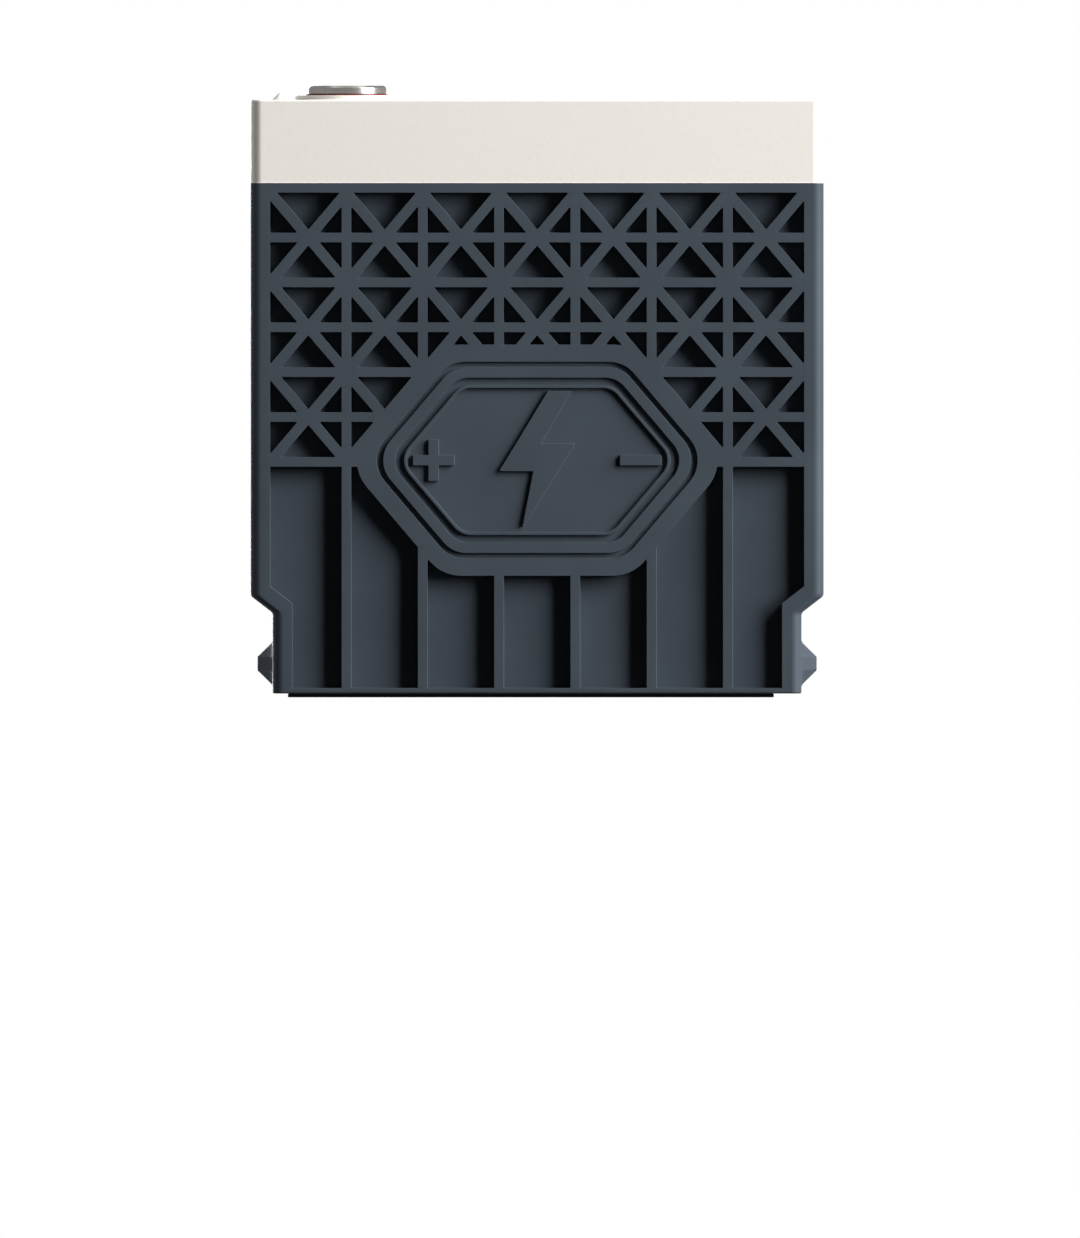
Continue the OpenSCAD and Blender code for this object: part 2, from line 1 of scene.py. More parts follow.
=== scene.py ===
# %% [markdown]
# # A sealed motorcycle battery
#
# The battery is a ribbed case moulded in blue-grey plastic, an off-white lid welded on top of it,
# two plated terminals and a thin rubber pad underneath. The imported model gives every piece its
# place and size, and this script gives each visible piece its finished surface: rounded edges,
# sloping pocket walls, turned metal and moulded plastic.
#
# We start by loading the imported model. TOUCH is the gap below which two corners count as one,
# and LEVEL_GAP is the least distance between two levels that count as different.

# %% Load the imported model
import math

import bpy
import numpy as np
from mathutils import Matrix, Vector
from mathutils.geometry import delaunay_2d_cdt


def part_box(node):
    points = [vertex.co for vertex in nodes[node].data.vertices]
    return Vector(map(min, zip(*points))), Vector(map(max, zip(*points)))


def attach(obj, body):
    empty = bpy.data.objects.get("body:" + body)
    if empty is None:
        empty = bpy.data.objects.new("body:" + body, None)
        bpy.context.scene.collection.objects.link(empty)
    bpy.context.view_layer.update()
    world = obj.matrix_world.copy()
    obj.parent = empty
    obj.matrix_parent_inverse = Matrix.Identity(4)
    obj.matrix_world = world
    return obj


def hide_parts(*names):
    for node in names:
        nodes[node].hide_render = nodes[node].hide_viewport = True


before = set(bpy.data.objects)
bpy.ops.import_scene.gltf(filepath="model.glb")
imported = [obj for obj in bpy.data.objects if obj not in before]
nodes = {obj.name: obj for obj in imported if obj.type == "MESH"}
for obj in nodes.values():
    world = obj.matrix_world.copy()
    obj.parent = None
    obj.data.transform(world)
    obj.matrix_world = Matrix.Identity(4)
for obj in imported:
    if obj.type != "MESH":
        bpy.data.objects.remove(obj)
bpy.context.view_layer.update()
MM = 0.001
TOUCH = 0.01 * MM
LEVEL_GAP = 0.05 * MM

# %% [markdown]
# ## Camera
#
# The battery is seen straight from the front with no perspective, as in a drawing of its front
# face. An orthographic camera does that. Its scale is the height of the picture in metres, and
# the battery stands in the upper half of the picture.

# %% The camera
PICTURE_H = 0.35866
PICTURE_MIDDLE = (0.00085, 0.0227)
CAMERA_DISTANCE = 1.2

camera_data = bpy.data.cameras.new("camera")
camera_data.type = "ORTHO"
camera_data.ortho_scale = PICTURE_H
camera = bpy.data.objects.new("camera", camera_data)
camera.location = (PICTURE_MIDDLE[0], -CAMERA_DISTANCE, PICTURE_MIDDLE[1])
camera.rotation_euler = (math.pi / 2, 0, 0)
bpy.context.scene.collection.objects.link(camera)
bpy.context.scene.camera = camera
print("camera looks along +Y; picture height in mm:", PICTURE_H / MM)

# %% [markdown]
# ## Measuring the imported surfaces
#
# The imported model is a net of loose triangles. To build finished surfaces that meet it exactly,
# we merge its doubled corners once, and then read flat outlines from it: all triangles that lie
# in one plane, and the edges that only one of them uses. Chained end to end, those edges are the
# outlines of the ribs, of the pockets and of the badge.

# %% Merge a node's corners
def merged(name):
    """A node's corners, each once, and its triangles. Corners that fall on the same hundredth of a
    millimetre count as one, and triangles that lose a corner by it are left out."""
    mesh = nodes[name].data
    mesh.calc_loop_triangles()
    corners = np.empty(len(mesh.vertices) * 3)
    mesh.vertices.foreach_get("co", corners)
    corners = corners.reshape(-1, 3)
    triangles = np.empty(len(mesh.loop_triangles) * 3, np.int32)
    mesh.loop_triangles.foreach_get("vertices", triangles)
    _, first, same = np.unique(
        np.round(corners / TOUCH).astype(np.int64), axis=0, return_index=True, return_inverse=True
    )
    triangles = same.ravel()[triangles].reshape(-1, 3)
    whole = (triangles != np.roll(triangles, 1, axis=1)).all(axis=1)
    return corners[first], triangles[whole]


def turned(points, degrees):
    """Points turned about Z: x' = x cos a - y sin a and y' = x sin a + y cos a."""
    a = math.radians(degrees)
    x, y, z = np.moveaxis(np.asarray(points, float), -1, 0)
    return np.stack([x * math.cos(a) - y * math.sin(a), x * math.sin(a) + y * math.cos(a), z], -1)


# %% Read outlines
def chained(edges):
    """Directed edges joined end to end into closed outlines, as lists of corner numbers."""
    after = dict(map(tuple, edges))
    chains = []
    while after:
        start, corner = after.popitem()
        chain = [start]
        while corner != start:
            chain.append(corner)
            corner = after.pop(corner)
        chains.append(chain)
    return chains


def border(triangles):
    """The directed edges that only one of the triangles has."""
    edges = np.vstack([triangles[:, [0, 1]], triangles[:, [1, 2]], triangles[:, [2, 0]]])
    forward = edges[:, 0].astype(np.int64) << 32 | edges[:, 1]
    backward = edges[:, 1].astype(np.int64) << 32 | edges[:, 0]
    return edges[~np.isin(forward, backward)]


def area_of(loop):
    """Half the sum of cross products of neighbours: positive for an anticlockwise outline."""
    x, y = loop.T
    return 0.5 * np.sum(x * np.roll(y, -1) - y * np.roll(x, -1))


def wall_outlines(name, turn, distance):
    """Outlines of the flat part of a node at a distance from the Z axis, on the side that
    faces -Y when the node is turned back. Each is (u, v) points with the solid on its left."""
    corners, triangles = merged(name)
    corners = turned(corners, -turn)
    flat = (np.abs(corners[triangles][:, :, 1] + distance) < 2 * TOUCH).all(axis=1)
    return [corners[chain][:, [0, 2]] for chain in chained(border(triangles[flat]))]


def level_outlines(name, height, facing_up=True):
    """Outlines of the flat part of a node at a height, as (x, y) points with the solid on the
    left seen from above, for surfaces that face up or down."""
    corners, triangles = merged(name)
    a, b, c = np.moveaxis(corners[triangles], 1, 0)
    up = np.cross(b - a, c - a)[:, 2] > 0
    flat = (np.abs(corners[triangles][:, :, 2] - height) < 2 * TOUCH).all(axis=1)
    chosen = triangles[flat & (up == facing_up)]
    loops = [corners[chain][:, :2] for chain in chained(border(chosen))]
    return loops if facing_up else [loop[::-1] for loop in loops]


case_low, case_high = map(np.array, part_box("case"))
lid_high = np.array(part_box("lid")[1])
front_loops = wall_outlines("case", 0, case_high[1])
print("outlines on the front face:", len(front_loops))

# %% [markdown]
# ## Three ways to make a surface
#
# Every finished piece below is made from the same three moves. A *band* is a grid of points,
# where each row is one closed outline and the next row is the same outline moved a little. A
# *plate* is a flat area between outlines, cut into triangles. *Kept* triangles come straight
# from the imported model, where nobody sees them, such as the insides of the cells.
#
# All three go into a skin, which welds corners that fall on the same spot, so that the piece
# comes out as one closed surface. Boolean cuts and Bevel modifiers could make such a part too,
# but on more than four hundred pockets they leave thin triangles that catch the light. Here
# every row of points lies where we put it.

# %% A skin that collects surfaces
class Skin:
    """Collects points and faces, and makes one welded mesh object of them."""

    def __init__(self):
        """Starts empty: no points, no faces, and a count of the points so far."""
        self.points, self.faces, self.count = [], [], 0

    def add(self, points, faces):
        """Faces are rows of four corner numbers; a triangle repeats its last one."""
        points = np.asarray(points, float).reshape(-1, 3)
        faces = np.asarray(faces, np.int64)
        if faces.shape[1] == 3:
            faces = np.hstack([faces, faces[:, 2:]])
        self.points.append(points)
        self.faces.append(faces + self.count)
        self.count += len(points)

    def band(self, rows, closed=True, inside_out=False):
        """A grid of points as four-sided faces. Seen from outside the piece, a row runs to the
        right and the next row lies above it."""
        rows = np.asarray(rows, float)
        k, n = rows.shape[:2]
        row, column = np.meshgrid(np.arange(k - 1), np.arange(n if closed else n - 1), indexing="ij")
        here, beside = row * n + column, row * n + (column + 1) % n
        faces = np.stack([here, beside, beside + n, here + n], -1).reshape(-1, 4)
        self.add(rows, faces[:, ::-1] if inside_out else faces)

    def plate(self, loops, place, inside_out=False):
        """A flat area between outlines; place turns (u, v) points into (x, y, z) points."""
        flat = np.vstack(loops)
        triangles = filled(loops)
        self.add(place(flat), triangles[:, ::-1] if inside_out else triangles)

    def finish(self, name, material, slot, smooth_degrees=40.0):
        """Welds the corners that fall on one spot, and makes the object. Edges that turn by more
        than smooth_degrees stay sharp, and large flat faces set the shading of the bends."""
        points, faces = np.vstack(self.points), np.vstack(self.faces)
        _, first, same = np.unique(
            np.round(points / TOUCH).astype(np.int64), axis=0, return_index=True, return_inverse=True
        )
        faces = same.ravel()[faces]
        distinct = [list(dict.fromkeys(face)) for face in faces.tolist()]
        distinct = [face for face in distinct if len(face) > 2]
        mesh = bpy.data.meshes.new(name)
        mesh.from_pydata(points[first].tolist(), [], distinct)
        mesh.update()
        mesh.shade_smooth()
        mesh.set_sharp_from_angle(angle=math.radians(smooth_degrees))
        mesh.materials.append(material)
        piece = bpy.data.objects.new(name, mesh)
        bpy.context.scene.collection.objects.link(piece)
        even = piece.modifiers.new("even_shading", "WEIGHTED_NORMAL")
        even.keep_sharp = True
        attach(piece, "root")
        report(piece)
        return piece


def report(piece):
    """Prints a piece's size in millimetres, its faces, and how many of its edges are open."""
    mesh = piece.data
    ends = np.empty(len(mesh.loops), np.int32)
    mesh.loops.foreach_get("edge_index", ends)
    uses = np.bincount(ends, minlength=len(mesh.edges))
    size = [round(s / MM, 1) for s in piece.dimensions]
    print(f"{piece.name}: {size} mm, {len(mesh.polygons)} faces, {int((uses != 2).sum())} open edges")


# %% [markdown]
# ## Filling a flat area
#
# A plate may have dozens of holes, and its outline may be any shape, so it can't be one face. A
# Delaunay net joins all of its points with triangles that are as even as they can be, and keeps
# every side of every outline as an edge. Then we drop the triangles that lie in a hole. The net
# is worked out in millimetres, so SAME_POINT is a ten-thousandth of one.

# %% Fill a flat area
BLOCK = 4096
SAME_POINT = 1e-4


def inside(points, loops):
    """True for each point that an odd number of outline edges pass on its right."""
    odd = np.zeros(len(points), bool)
    for loop in loops:
        a, b = loop, np.roll(loop, -1, axis=0)
        for start in range(0, len(points), BLOCK):
            x, y = points[start:start + BLOCK].T[:, :, None]
            rise = (a[:, 1] > y) != (b[:, 1] > y)
            with np.errstate(divide="ignore", invalid="ignore"):
                cross = a[:, 0] + (y - a[:, 1]) * (b[:, 0] - a[:, 0]) / (b[:, 1] - a[:, 1])
            odd[start:start + BLOCK] ^= (rise & (x < cross)).sum(axis=1) % 2 == 1
    return odd


def filled(loops):
    """Triangles over the area between outlines: a Delaunay net through all the points, less
    the triangles whose middle lies outside or in a hole."""
    points = np.vstack(loops) / MM
    sizes = [len(loop) for loop in loops]
    starts = np.cumsum([0] + sizes[:-1])
    edges = [(int(s + i), int(s + (i + 1) % n)) for s, n in zip(starts, sizes) for i in range(n)]
    vectors = [Vector(point) for point in points.tolist()]
    _, _, net, origins, _, _ = delaunay_2d_cdt(vectors, edges, [], 0, SAME_POINT)
    source = np.array([origin[0] if origin else -1 for origin in origins])
    triangles = source[np.array(net)]
    triangles = triangles[(triangles >= 0).all(axis=1)]
    a, b, c = np.moveaxis(points[triangles], 1, 0)
    triangles = triangles[inside((a + b + c) / 3, [loop / MM for loop in loops])]
    a, b, c = np.moveaxis(points[triangles], 1, 0)
    left = (b - a)[:, 0] * (c - a)[:, 1] - (b - a)[:, 1] * (c - a)[:, 0] < 0
    triangles[left] = triangles[left][:, ::-1]
    return triangles


# %% [markdown]
# ## Outlines with rounded corners
#
# A moulded part has no sharp corner anywhere, because plastic has to flow round it and the
# finished part has to leave the mould. The next function takes any outline, moves its sides
# inwards by a distance, and rounds each corner with an arc. Called once for each depth, with
# slightly different distances, it gives the rows of a band.

# %% Move and round an outline
ARC_STEPS = 4
BLUNT = math.radians(20)
STRAIGHT = 0.004
ROOM_SHARE = 0.55
LEAST_ROOM = 0.05 * MM


def cleaned(loop, shortest=0.45 * MM):
    """An outline without points on straight runs and without very short sides. A run is
    straight where the sine of its turn is under STRAIGHT."""
    while True:
        before, after = np.roll(loop, 1, axis=0), np.roll(loop, -1, axis=0)
        to, on = loop - before, after - loop
        cross = to[:, 0] * on[:, 1] - to[:, 1] * on[:, 0]
        straight = np.abs(cross) < STRAIGHT * np.linalg.norm(to, axis=1) * np.linalg.norm(on, axis=1)
        short = np.linalg.norm(on, axis=1) < shortest
        drop = straight | short
        if not drop.any() or len(loop) < 4:
            return loop
        loop = np.delete(loop, np.argmax(drop), axis=0)


def corner_frame(loop):
    """For each corner: the left-hand normals of its two sides, the angle turned there, and the
    mitre vector m, which moves the corner by one unit to the left of both sides at once:
    m = (n1 + n2) / (1 + n1 . n2)."""
    to = loop - np.roll(loop, 1, axis=0)
    on = np.roll(loop, -1, axis=0) - loop
    n1 = np.stack([-to[:, 1], to[:, 0]], -1) / np.linalg.norm(to, axis=1)[:, None]
    n2 = np.stack([-on[:, 1], on[:, 0]], -1) / np.linalg.norm(on, axis=1)[:, None]
    turn = np.arctan2(n1[:, 0] * n2[:, 1] - n1[:, 1] * n2[:, 0], (n1 * n2).sum(axis=1))
    mitre = (n1 + n2) / (1 + (n1 * n2).sum(axis=1))[:, None]
    return n1, turn, mitre


def rounded_rows(loop, insets, radius, smallest=0.12 * MM):
    """One row of points for each inset. Corner V moves to V + inset m. On it sits an arc of
    radius r, with its centre at V + inset m + s r m, where s is 1 on an outward corner and -1
    on an inward one. Moving an outline inwards makes its outward arcs tighter."""
    n1, turn, mitre = corner_frame(loop)
    steps = np.where(np.abs(turn) < BLUNT, 1, ARC_STEPS + 1)
    corner = np.repeat(np.arange(len(loop)), steps)
    part = np.concatenate([[0.5] if s == 1 else np.linspace(0, 1, s) for s in steps])
    angle = np.arctan2(n1[:, 1], n1[:, 0])[corner] + turn[corner] * part
    normal = np.stack([np.cos(angle), np.sin(angle)], -1)
    side = np.sign(turn)[corner, None]
    rows = []
    for inset in insets:
        r = np.maximum(radius - side * inset, smallest)
        rows.append(loop[corner] + inset * mitre[corner] + side * r * (mitre[corner] - normal))
    return np.array(rows)


def room_inside(loop, wanted):
    """The inset that an outline can take. It is the wanted one, or a share of the distance to the
    middle, 2 area / length round, and it shrinks by a fifth until no side would turn round."""
    length = np.linalg.norm(np.roll(loop, -1, axis=0) - loop, axis=1).sum()
    inset = min(wanted, ROOM_SHARE * 2 * abs(area_of(loop)) / length) if area_of(loop) > 0 else wanted
    _, _, mitre = corner_frame(loop)
    side = np.roll(loop, -1, axis=0) - loop
    while inset > LEAST_ROOM:
        moved = loop + inset * mitre
        if (((np.roll(moved, -1, axis=0) - moved) * side).sum(axis=1) > 0).all():
            break
        inset *= 0.8
    return inset


# %% Profiles of a recess and of a rounded edge
def quarter(steps=3):
    """Angles from 0 to a right angle, for an edge that is rounded by a quarter of a circle."""
    return np.linspace(0, math.pi / 2, steps + 1)


def recess_profile(depth, lip, slope, fillet):
    """Insets and depths: a rounded lip, a wall that leans in by slope, a rounded bottom.
    The lip is lip (1 - sin a) outside the outline and lip (1 - cos a) below the face. The bottom
    is slope + fillet (1 - cos a) inside it and depth - fillet (1 - sin a) below the face."""
    a = quarter()
    inset = np.concatenate([-lip * (1 - np.sin(a)), slope + fillet * (1 - np.cos(a))])
    down = np.concatenate([lip * (1 - np.cos(a)), depth - fillet + fillet * np.sin(a)])
    return inset, down


def plan_ring(half_w, half_d, r, steps=8):
    """The four corner arcs of a rounded rectangle, front right first, anticlockwise seen from
    above: centre (w - r, d - r) plus r (cos a, sin a). Shape (4, steps + 1, 2)."""
    a = np.linspace(-math.pi / 2, 0, steps + 1) + math.pi / 2 * np.arange(4)[:, None]
    sign = np.array([[1, -1], [1, 1], [-1, 1], [-1, -1]])
    centre = sign * np.array([half_w - r, half_d - r])
    return centre[:, None, :] + r * np.stack([np.cos(a), np.sin(a)], -1)


def rings_at(levels):
    """Corner arcs at each (height, half width, half depth, corner radius). Shape (k, 4, n, 3)."""
    rings = []
    for z, half_w, half_d, r in levels:
        ring = plan_ring(half_w, half_d, r)
        rings.append(np.concatenate([ring, np.full(ring.shape[:2] + (1,), z)], -1))
    return np.array(rings)


# %% [markdown]
# ## Finishes
#
# A finish needs three things: the right colour, the right gloss, and small-scale relief. The
# case and the lid are injection moulded, so their faces carry the fine grain of the mould, a
# faint flow mottle, and slight unevenness in gloss where hands and boxes have rubbed them. These
# could be painted images, but patterns worked out from noise need no unwrapping and have no
# seams. All of them read Object coordinates, so they stay fixed to the piece from every side.

# %% Building blocks for finishes
def srgb(r, g, b):
    """A colour given in 0 to 255 as linear light: ((c + 0.055) / 1.055) ** 2.4."""
    c = np.array([r, g, b]) / 255
    linear = np.where(c <= 0.04045, c / 12.92, ((c + 0.055) / 1.055) ** 2.4)
    return (*map(float, linear), 1.0)


class Finish:
    """A material with short names for its node links."""

    def __init__(self, name, roughness, metallic=0.0, specular=0.5):
        """An even surface with one roughness; colour and relief are added by the methods."""
        self.material = bpy.data.materials.new(name)
        self.material.use_nodes = True
        self.tree = self.material.node_tree
        self.shader = self.tree.nodes["Principled BSDF"]
        self.shader.inputs["Roughness"].default_value = roughness
        self.shader.inputs["Metallic"].default_value = metallic
        self.shader.inputs["Specular IOR Level"].default_value = specular
        self.coordinates = self.node("ShaderNodeTexCoord").outputs["Object"]

    def node(self, kind, **settings):
        """A shader node, with its settings and input values given by name."""
        made = self.tree.nodes.new(kind)
        for name, value in settings.items():
            if hasattr(made, name):
                setattr(made, name, value)
            else:
                made.inputs[name.replace("_", " ")].default_value = value
        return made

    def link(self, output, target):
        """Joins an output to an input."""
        self.tree.links.new(output, target)

    def noise(self, scale, detail=3.0, rough=0.55, source=None):
        """Cloudy noise from 0 to 1, with about scale clouds to the metre."""
        made = self.node("ShaderNodeTexNoise", Scale=scale, Detail=detail, Roughness=rough)
        self.link(source or self.coordinates, made.inputs["Vector"])
        return made.outputs["Fac"]

    def mapped(self, location=(0, 0, 0), scale=(1, 1, 1)):
        """The piece's coordinates, each times its scale and then moved by the location."""
        made = self.node("ShaderNodeMapping")
        made.inputs["Location"].default_value = location
        made.inputs["Scale"].default_value = scale
        self.link(self.coordinates, made.inputs["Vector"])
        return made.outputs["Vector"]

    def ramp(self, value, stops):
        """A colour or grey for each value; stops are (value, colour) pairs."""
        made = self.node("ShaderNodeValToRGB")
        band = made.color_ramp.elements
        while len(band) < len(stops):
            band.new(0.5)
        for element, (position, colour) in zip(band, stops):
            element.position = position
            element.color = colour if isinstance(colour, tuple) else (colour, colour, colour, 1)
        self.link(value, made.inputs["Fac"])
        return made.outputs["Color"]

    def math(self, operation, a, b):
        """Arithmetic on two values, each a number or a node's output."""
        made = self.node("ShaderNodeMath", operation=operation)
        for socket, value in zip(made.inputs, (a, b)):
            if isinstance(value, (int, float)):
                socket.default_value = value
            else:
                self.link(value, socket)
        return made.outputs["Value"]

    def colour(self, value, stops):
        """The surface's colour, from a ramp over a value."""
        self.link(self.ramp(value, stops), self.shader.inputs["Base Color"])

    def gloss(self, value, low, high):
        """Roughness between low and high, following a value."""
        self.link(self.ramp(value, [(0.3, low), (0.7, high)]), self.shader.inputs["Roughness"])

    def relief(self, heights, distance):
        """Bump from (height, strength) pairs; distance is the relief's depth in metres."""
        normal = None
        for height, strength in heights:
            made = self.node("ShaderNodeBump", Strength=strength, Distance=distance)
            self.link(height, made.inputs["Height"])
            if normal is not None:
                self.link(normal, made.inputs["Normal"])
            normal = made.outputs["Normal"]
        self.link(normal, self.shader.inputs["Normal"])


# %% Moulded case plastic
def moulded_case_plastic():
    """Blue-grey, satin, with a fine even mould grain, a broad flow mottle and light rub marks."""
    finish = Finish("moulded_case_plastic", 0.42, specular=0.09)
    mottle = finish.noise(45, 4)
    finish.colour(mottle, [(0.25, srgb(62, 69, 77)), (0.75, srgb(67, 75, 83))])
    finish.gloss(finish.noise(130, 5, 0.65), 0.38, 0.5)
    grain = finish.noise(5200, 2, 0.5)
    flow = finish.noise(260, 2)
    finish.relief([(flow, 0.06), (grain, 0.12)], 0.06 * MM)
    return finish.material


def moulded_lid_plastic():
    """Warm off-white, smoother than the case, with a very faint speckle of recycled grains."""
    finish = Finish("moulded_lid_plastic", 0.4, specular=0.2)
    speckle = finish.noise(1900, 2, 0.4)
    dark, middle, light = srgb(226, 220, 213), srgb(230, 225, 218), srgb(232, 227, 221)
    finish.colour(speckle, [(0.2, dark), (0.5, middle), (0.8, light)])
    finish.gloss(finish.noise(90, 4, 0.6), 0.36, 0.46)
    finish.relief([(finish.noise(210, 2), 0.05), (finish.noise(4200, 2, 0.5), 0.08)], 0.05 * MM)
    return finish.material


case_plastic = moulded_case_plastic()
lid_plastic = moulded_lid_plastic()
print("finishes so far:", case_plastic.name, "and", lid_plastic.name)

# %% [markdown]
# ## The case: its levels
#
# Seen from above, the case is a rectangle with rounded corners at every height. Only its width
# changes: narrow at the base, then a slope out over the hold-down groove, then full width up to
# the lid. So its skin is a stack of rounded rectangles. The two bends beside the slope are arcs,
# and so are the lowest and highest edges. The base is a little wider than the pad under it, and
# the ledges rise by as much again from its sides.

# %% Levels of the case
PAD_MARGIN = 4.4 * MM
LEDGE_RISE = 4.4 * MM
CASE_CORNER_R = 3 * MM
BASE_EDGE = 0.5 * MM
SEAM_EDGE = 0.15 * MM
BEND_R = 1.6 * MM

base_half = PAD_MARGIN - float(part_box("base_pad")[0][0])
side_points = turned(merged("case")[0], -90)
on_side = np.abs(side_points[:, 1] + case_high[0]) < TOUCH
groove_top = side_points[on_side, 2].min()
on_base = np.abs(side_points[:, 1] + base_half) < TOUCH
groove_low = side_points[on_base, 2].max()
print("groove from", round(groove_low / MM, 2), "to", round(groove_top / MM, 2), "mm")
print("half width of the base in mm:", round(base_half / MM, 2))


def bent(before, corner, after, r, steps=4):
    """An arc of radius r that touches both sides of a corner, as points: from T1 to T2, each
    r tan(turn / 2) from the corner, by turning the first normal through the angle."""
    to, on = corner - before, after - corner
    to, on = to / np.linalg.norm(to), on / np.linalg.norm(on)
    turn = math.atan2(to[0] * on[1] - to[1] * on[0], to @ on)
    side = math.copysign(1, turn)
    start = corner - to * r * math.tan(abs(turn) / 2)
    normal = np.array([-to[1], to[0]]) * side
    centre = start + normal * r
    angle = np.linspace(0, turn, steps + 1)
    x, y = -normal
    cos, sin = np.cos(angle), np.sin(angle)
    return centre + r * np.stack([x * cos - y * sin, x * sin + y * cos], -1)


low_corner = np.array([base_half, groove_low])
high_corner = np.array([case_high[0], groove_top])
low_bend = bent(np.array([base_half, case_low[2]]), low_corner, high_corner, BEND_R)
high_bend = bent(low_corner, high_corner, np.array([case_high[0], case_high[2]]), BEND_R)

# One level is (height, half width, half depth, corner radius).
a = quarter()
levels = []
for inset, z in zip(BASE_EDGE * (1 - np.sin(a)), case_low[2] + BASE_EDGE * (1 - np.cos(a))):
    levels.append((z, base_half - inset, case_high[1] - inset, CASE_CORNER_R - inset))
FACE_LOW = len(levels) - 1
levels += [(z, w, case_high[1], CASE_CORNER_R) for w, z in low_bend]
GROOVE_LOW = FACE_LOW + 1
levels += [(z, w, case_high[1], CASE_CORNER_R) for w, z in high_bend]
GROOVE_TOP = len(levels) - 1
for inset, z in zip(SEAM_EDGE * (1 - np.cos(a)), case_high[2] - SEAM_EDGE * (1 - np.sin(a))):
    levels.append((z, case_high[0] - inset, case_high[1] - inset, CASE_CORNER_R - inset))
FACE_TOP = GROOVE_TOP + 1
case_rings = rings_at(levels)
print("levels of the case:", len(levels))

# %% [markdown]
# ## The case: its faces
#
# Each of the four faces is a flat plate with pockets sunk into it. The pocket outlines come from
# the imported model, so the ribs stay where the design puts them. Every pocket gets a rounded lip,
# walls that lean in by about half a degree so that the moulding can leave its tool, and a rounded
# bottom. The badge on the front is made of the same recesses, only shallower. We build a face as
# one plate with the recesses' lips as its holes, so that every seam is closed by shared corners.

# %% Pockets and badge on a face
POCKET = dict(lip=0.06 * MM, slope=0.03 * MM, fillet=0.12 * MM)
BADGE = dict(lip=0.07 * MM, slope=0.04 * MM, fillet=0.08 * MM)
POCKET_CORNER_R = 0.2 * MM
SHALLOW = 2 * MM
SLOPE_SHARE = 0.25
FILLET_SHARE = 0.75


def depth_below(corners, loop, distance):
    """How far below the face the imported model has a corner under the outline's first point."""
    gap = np.abs(corners[:, [0, 2]] - loop[0]).max(axis=1)
    below = corners[gap < 2 * TOUCH, 1] + distance
    return below[below > LEVEL_GAP].min()


def sunk_face(skin, name, turn, distance, outer, loops):
    """A plate with recesses. Each recess is a band from its lip to its bottom, and recesses of
    one depth share their bottom plates, so that an island in a recess stays standing."""
    corners = turned(merged(name)[0], -turn)
    tops, bottoms = [], {}

    def place(uv, sink):
        """From (u, v) on the face to (x, y, z), a distance below the face."""
        return turned(np.stack([uv[..., 0], sink - distance, uv[..., 1]], -1), turn)

    for loop in loops:
        depth = round(depth_below(corners, loop, distance) / MM, 3) * MM
        shape = BADGE if depth < SHALLOW else POCKET
        outline = cleaned(loop[::-1])
        room = room_inside(outline, shape["slope"] + shape["fillet"])
        slope = min(shape["slope"], SLOPE_SHARE * room)
        fillet = min(shape["fillet"], FILLET_SHARE * room)
        inset, down = recess_profile(depth, shape["lip"], slope, fillet)
        rows = rounded_rows(outline, inset, POCKET_CORNER_R)
        skin.band(place(rows, np.broadcast_to(down[:, None], rows.shape[:2])))
        tops.append(rows[0])
        bottoms.setdefault(depth, []).append(rows[-1])
    skin.plate([outer] + tops, lambda uv: place(uv, np.zeros(len(uv))))
    for depth, rings in bottoms.items():
        skin.plate(rings, lambda uv: place(uv, np.full(len(uv), depth)))
    depths = sorted(round(depth / MM, 1) for depth in bottoms)
    print(f"face at {turn} degrees: {len(loops)} recesses, depths {depths} mm")


def face_border(rings, face, low, high):
    """The edge of a flat face between two levels: up its right-hand column of corner points
    and down its left-hand one, in the face's own (u, v)."""
    right = turned(rings[low:high + 1, face, 0], -90 * face)[:, [0, 2]]
    left = turned(rings[low:high + 1, face - 1, -1], -90 * face)[:, [0, 2]]
    return np.vstack([right, left[::-1]])


def recess_outlines(name, turn, distance):
    """All outlines on a face but the outermost."""
    loops = wall_outlines(name, turn, distance)
    outermost = max(range(len(loops)), key=lambda i: abs(area_of(loops[i])))
    return loops[:outermost] + loops[outermost + 1:]


# %% [markdown]
# ## The case: ledges, insides and rims
#
# A hold-down ledge is a long wedge on each side, for the bracket that holds the battery in the
# vehicle. Its root is a rectangle with cut corners and its tip a smaller rectangle. A bevelled
# cube wouldn't have these three facets at each end, so its surface is a straight blend from one
# outline to the other, with a rounded tip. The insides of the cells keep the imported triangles.

# %% A hold-down ledge
LEDGE_EDGE = 0.35 * MM
LEDGE_FOOT = 0.4 * MM
LEDGE_CORNER = 0.5 * MM
LEDGE_POINTS = 32
LEDGE_ROWS = 5


def resampled(loop, radius, inset):
    """An outline as one row of LEDGE_POINTS points, shared out evenly over its corners. Corner V
    becomes an arc: V + inset m + radius (m - n), as the normal n turns from side to side."""
    n1, turn, mitre = corner_frame(loop)
    per_corner = LEDGE_POINTS // len(loop)
    corner = np.repeat(np.arange(len(loop)), per_corner)
    part = np.tile(np.linspace(0, 1, per_corner), len(loop))
    angle = np.arctan2(n1[:, 1], n1[:, 0])[corner] + turn[corner] * part
    normal = np.stack([np.cos(angle), np.sin(angle)], -1)
    return loop[corner] + inset * mitre[corner] + radius * (mitre[corner] - normal)


def from_top_right(loop):
    """The same anticlockwise outline, started at the first corner anticlockwise of straight right
    as seen from its middle, so that two outlines can be blended corner by corner."""
    u, v = (loop - loop.mean(axis=0)).T
    start = np.argmin(np.arctan2(v, u) % (2 * math.pi))
    return np.roll(loop, -start, axis=0)


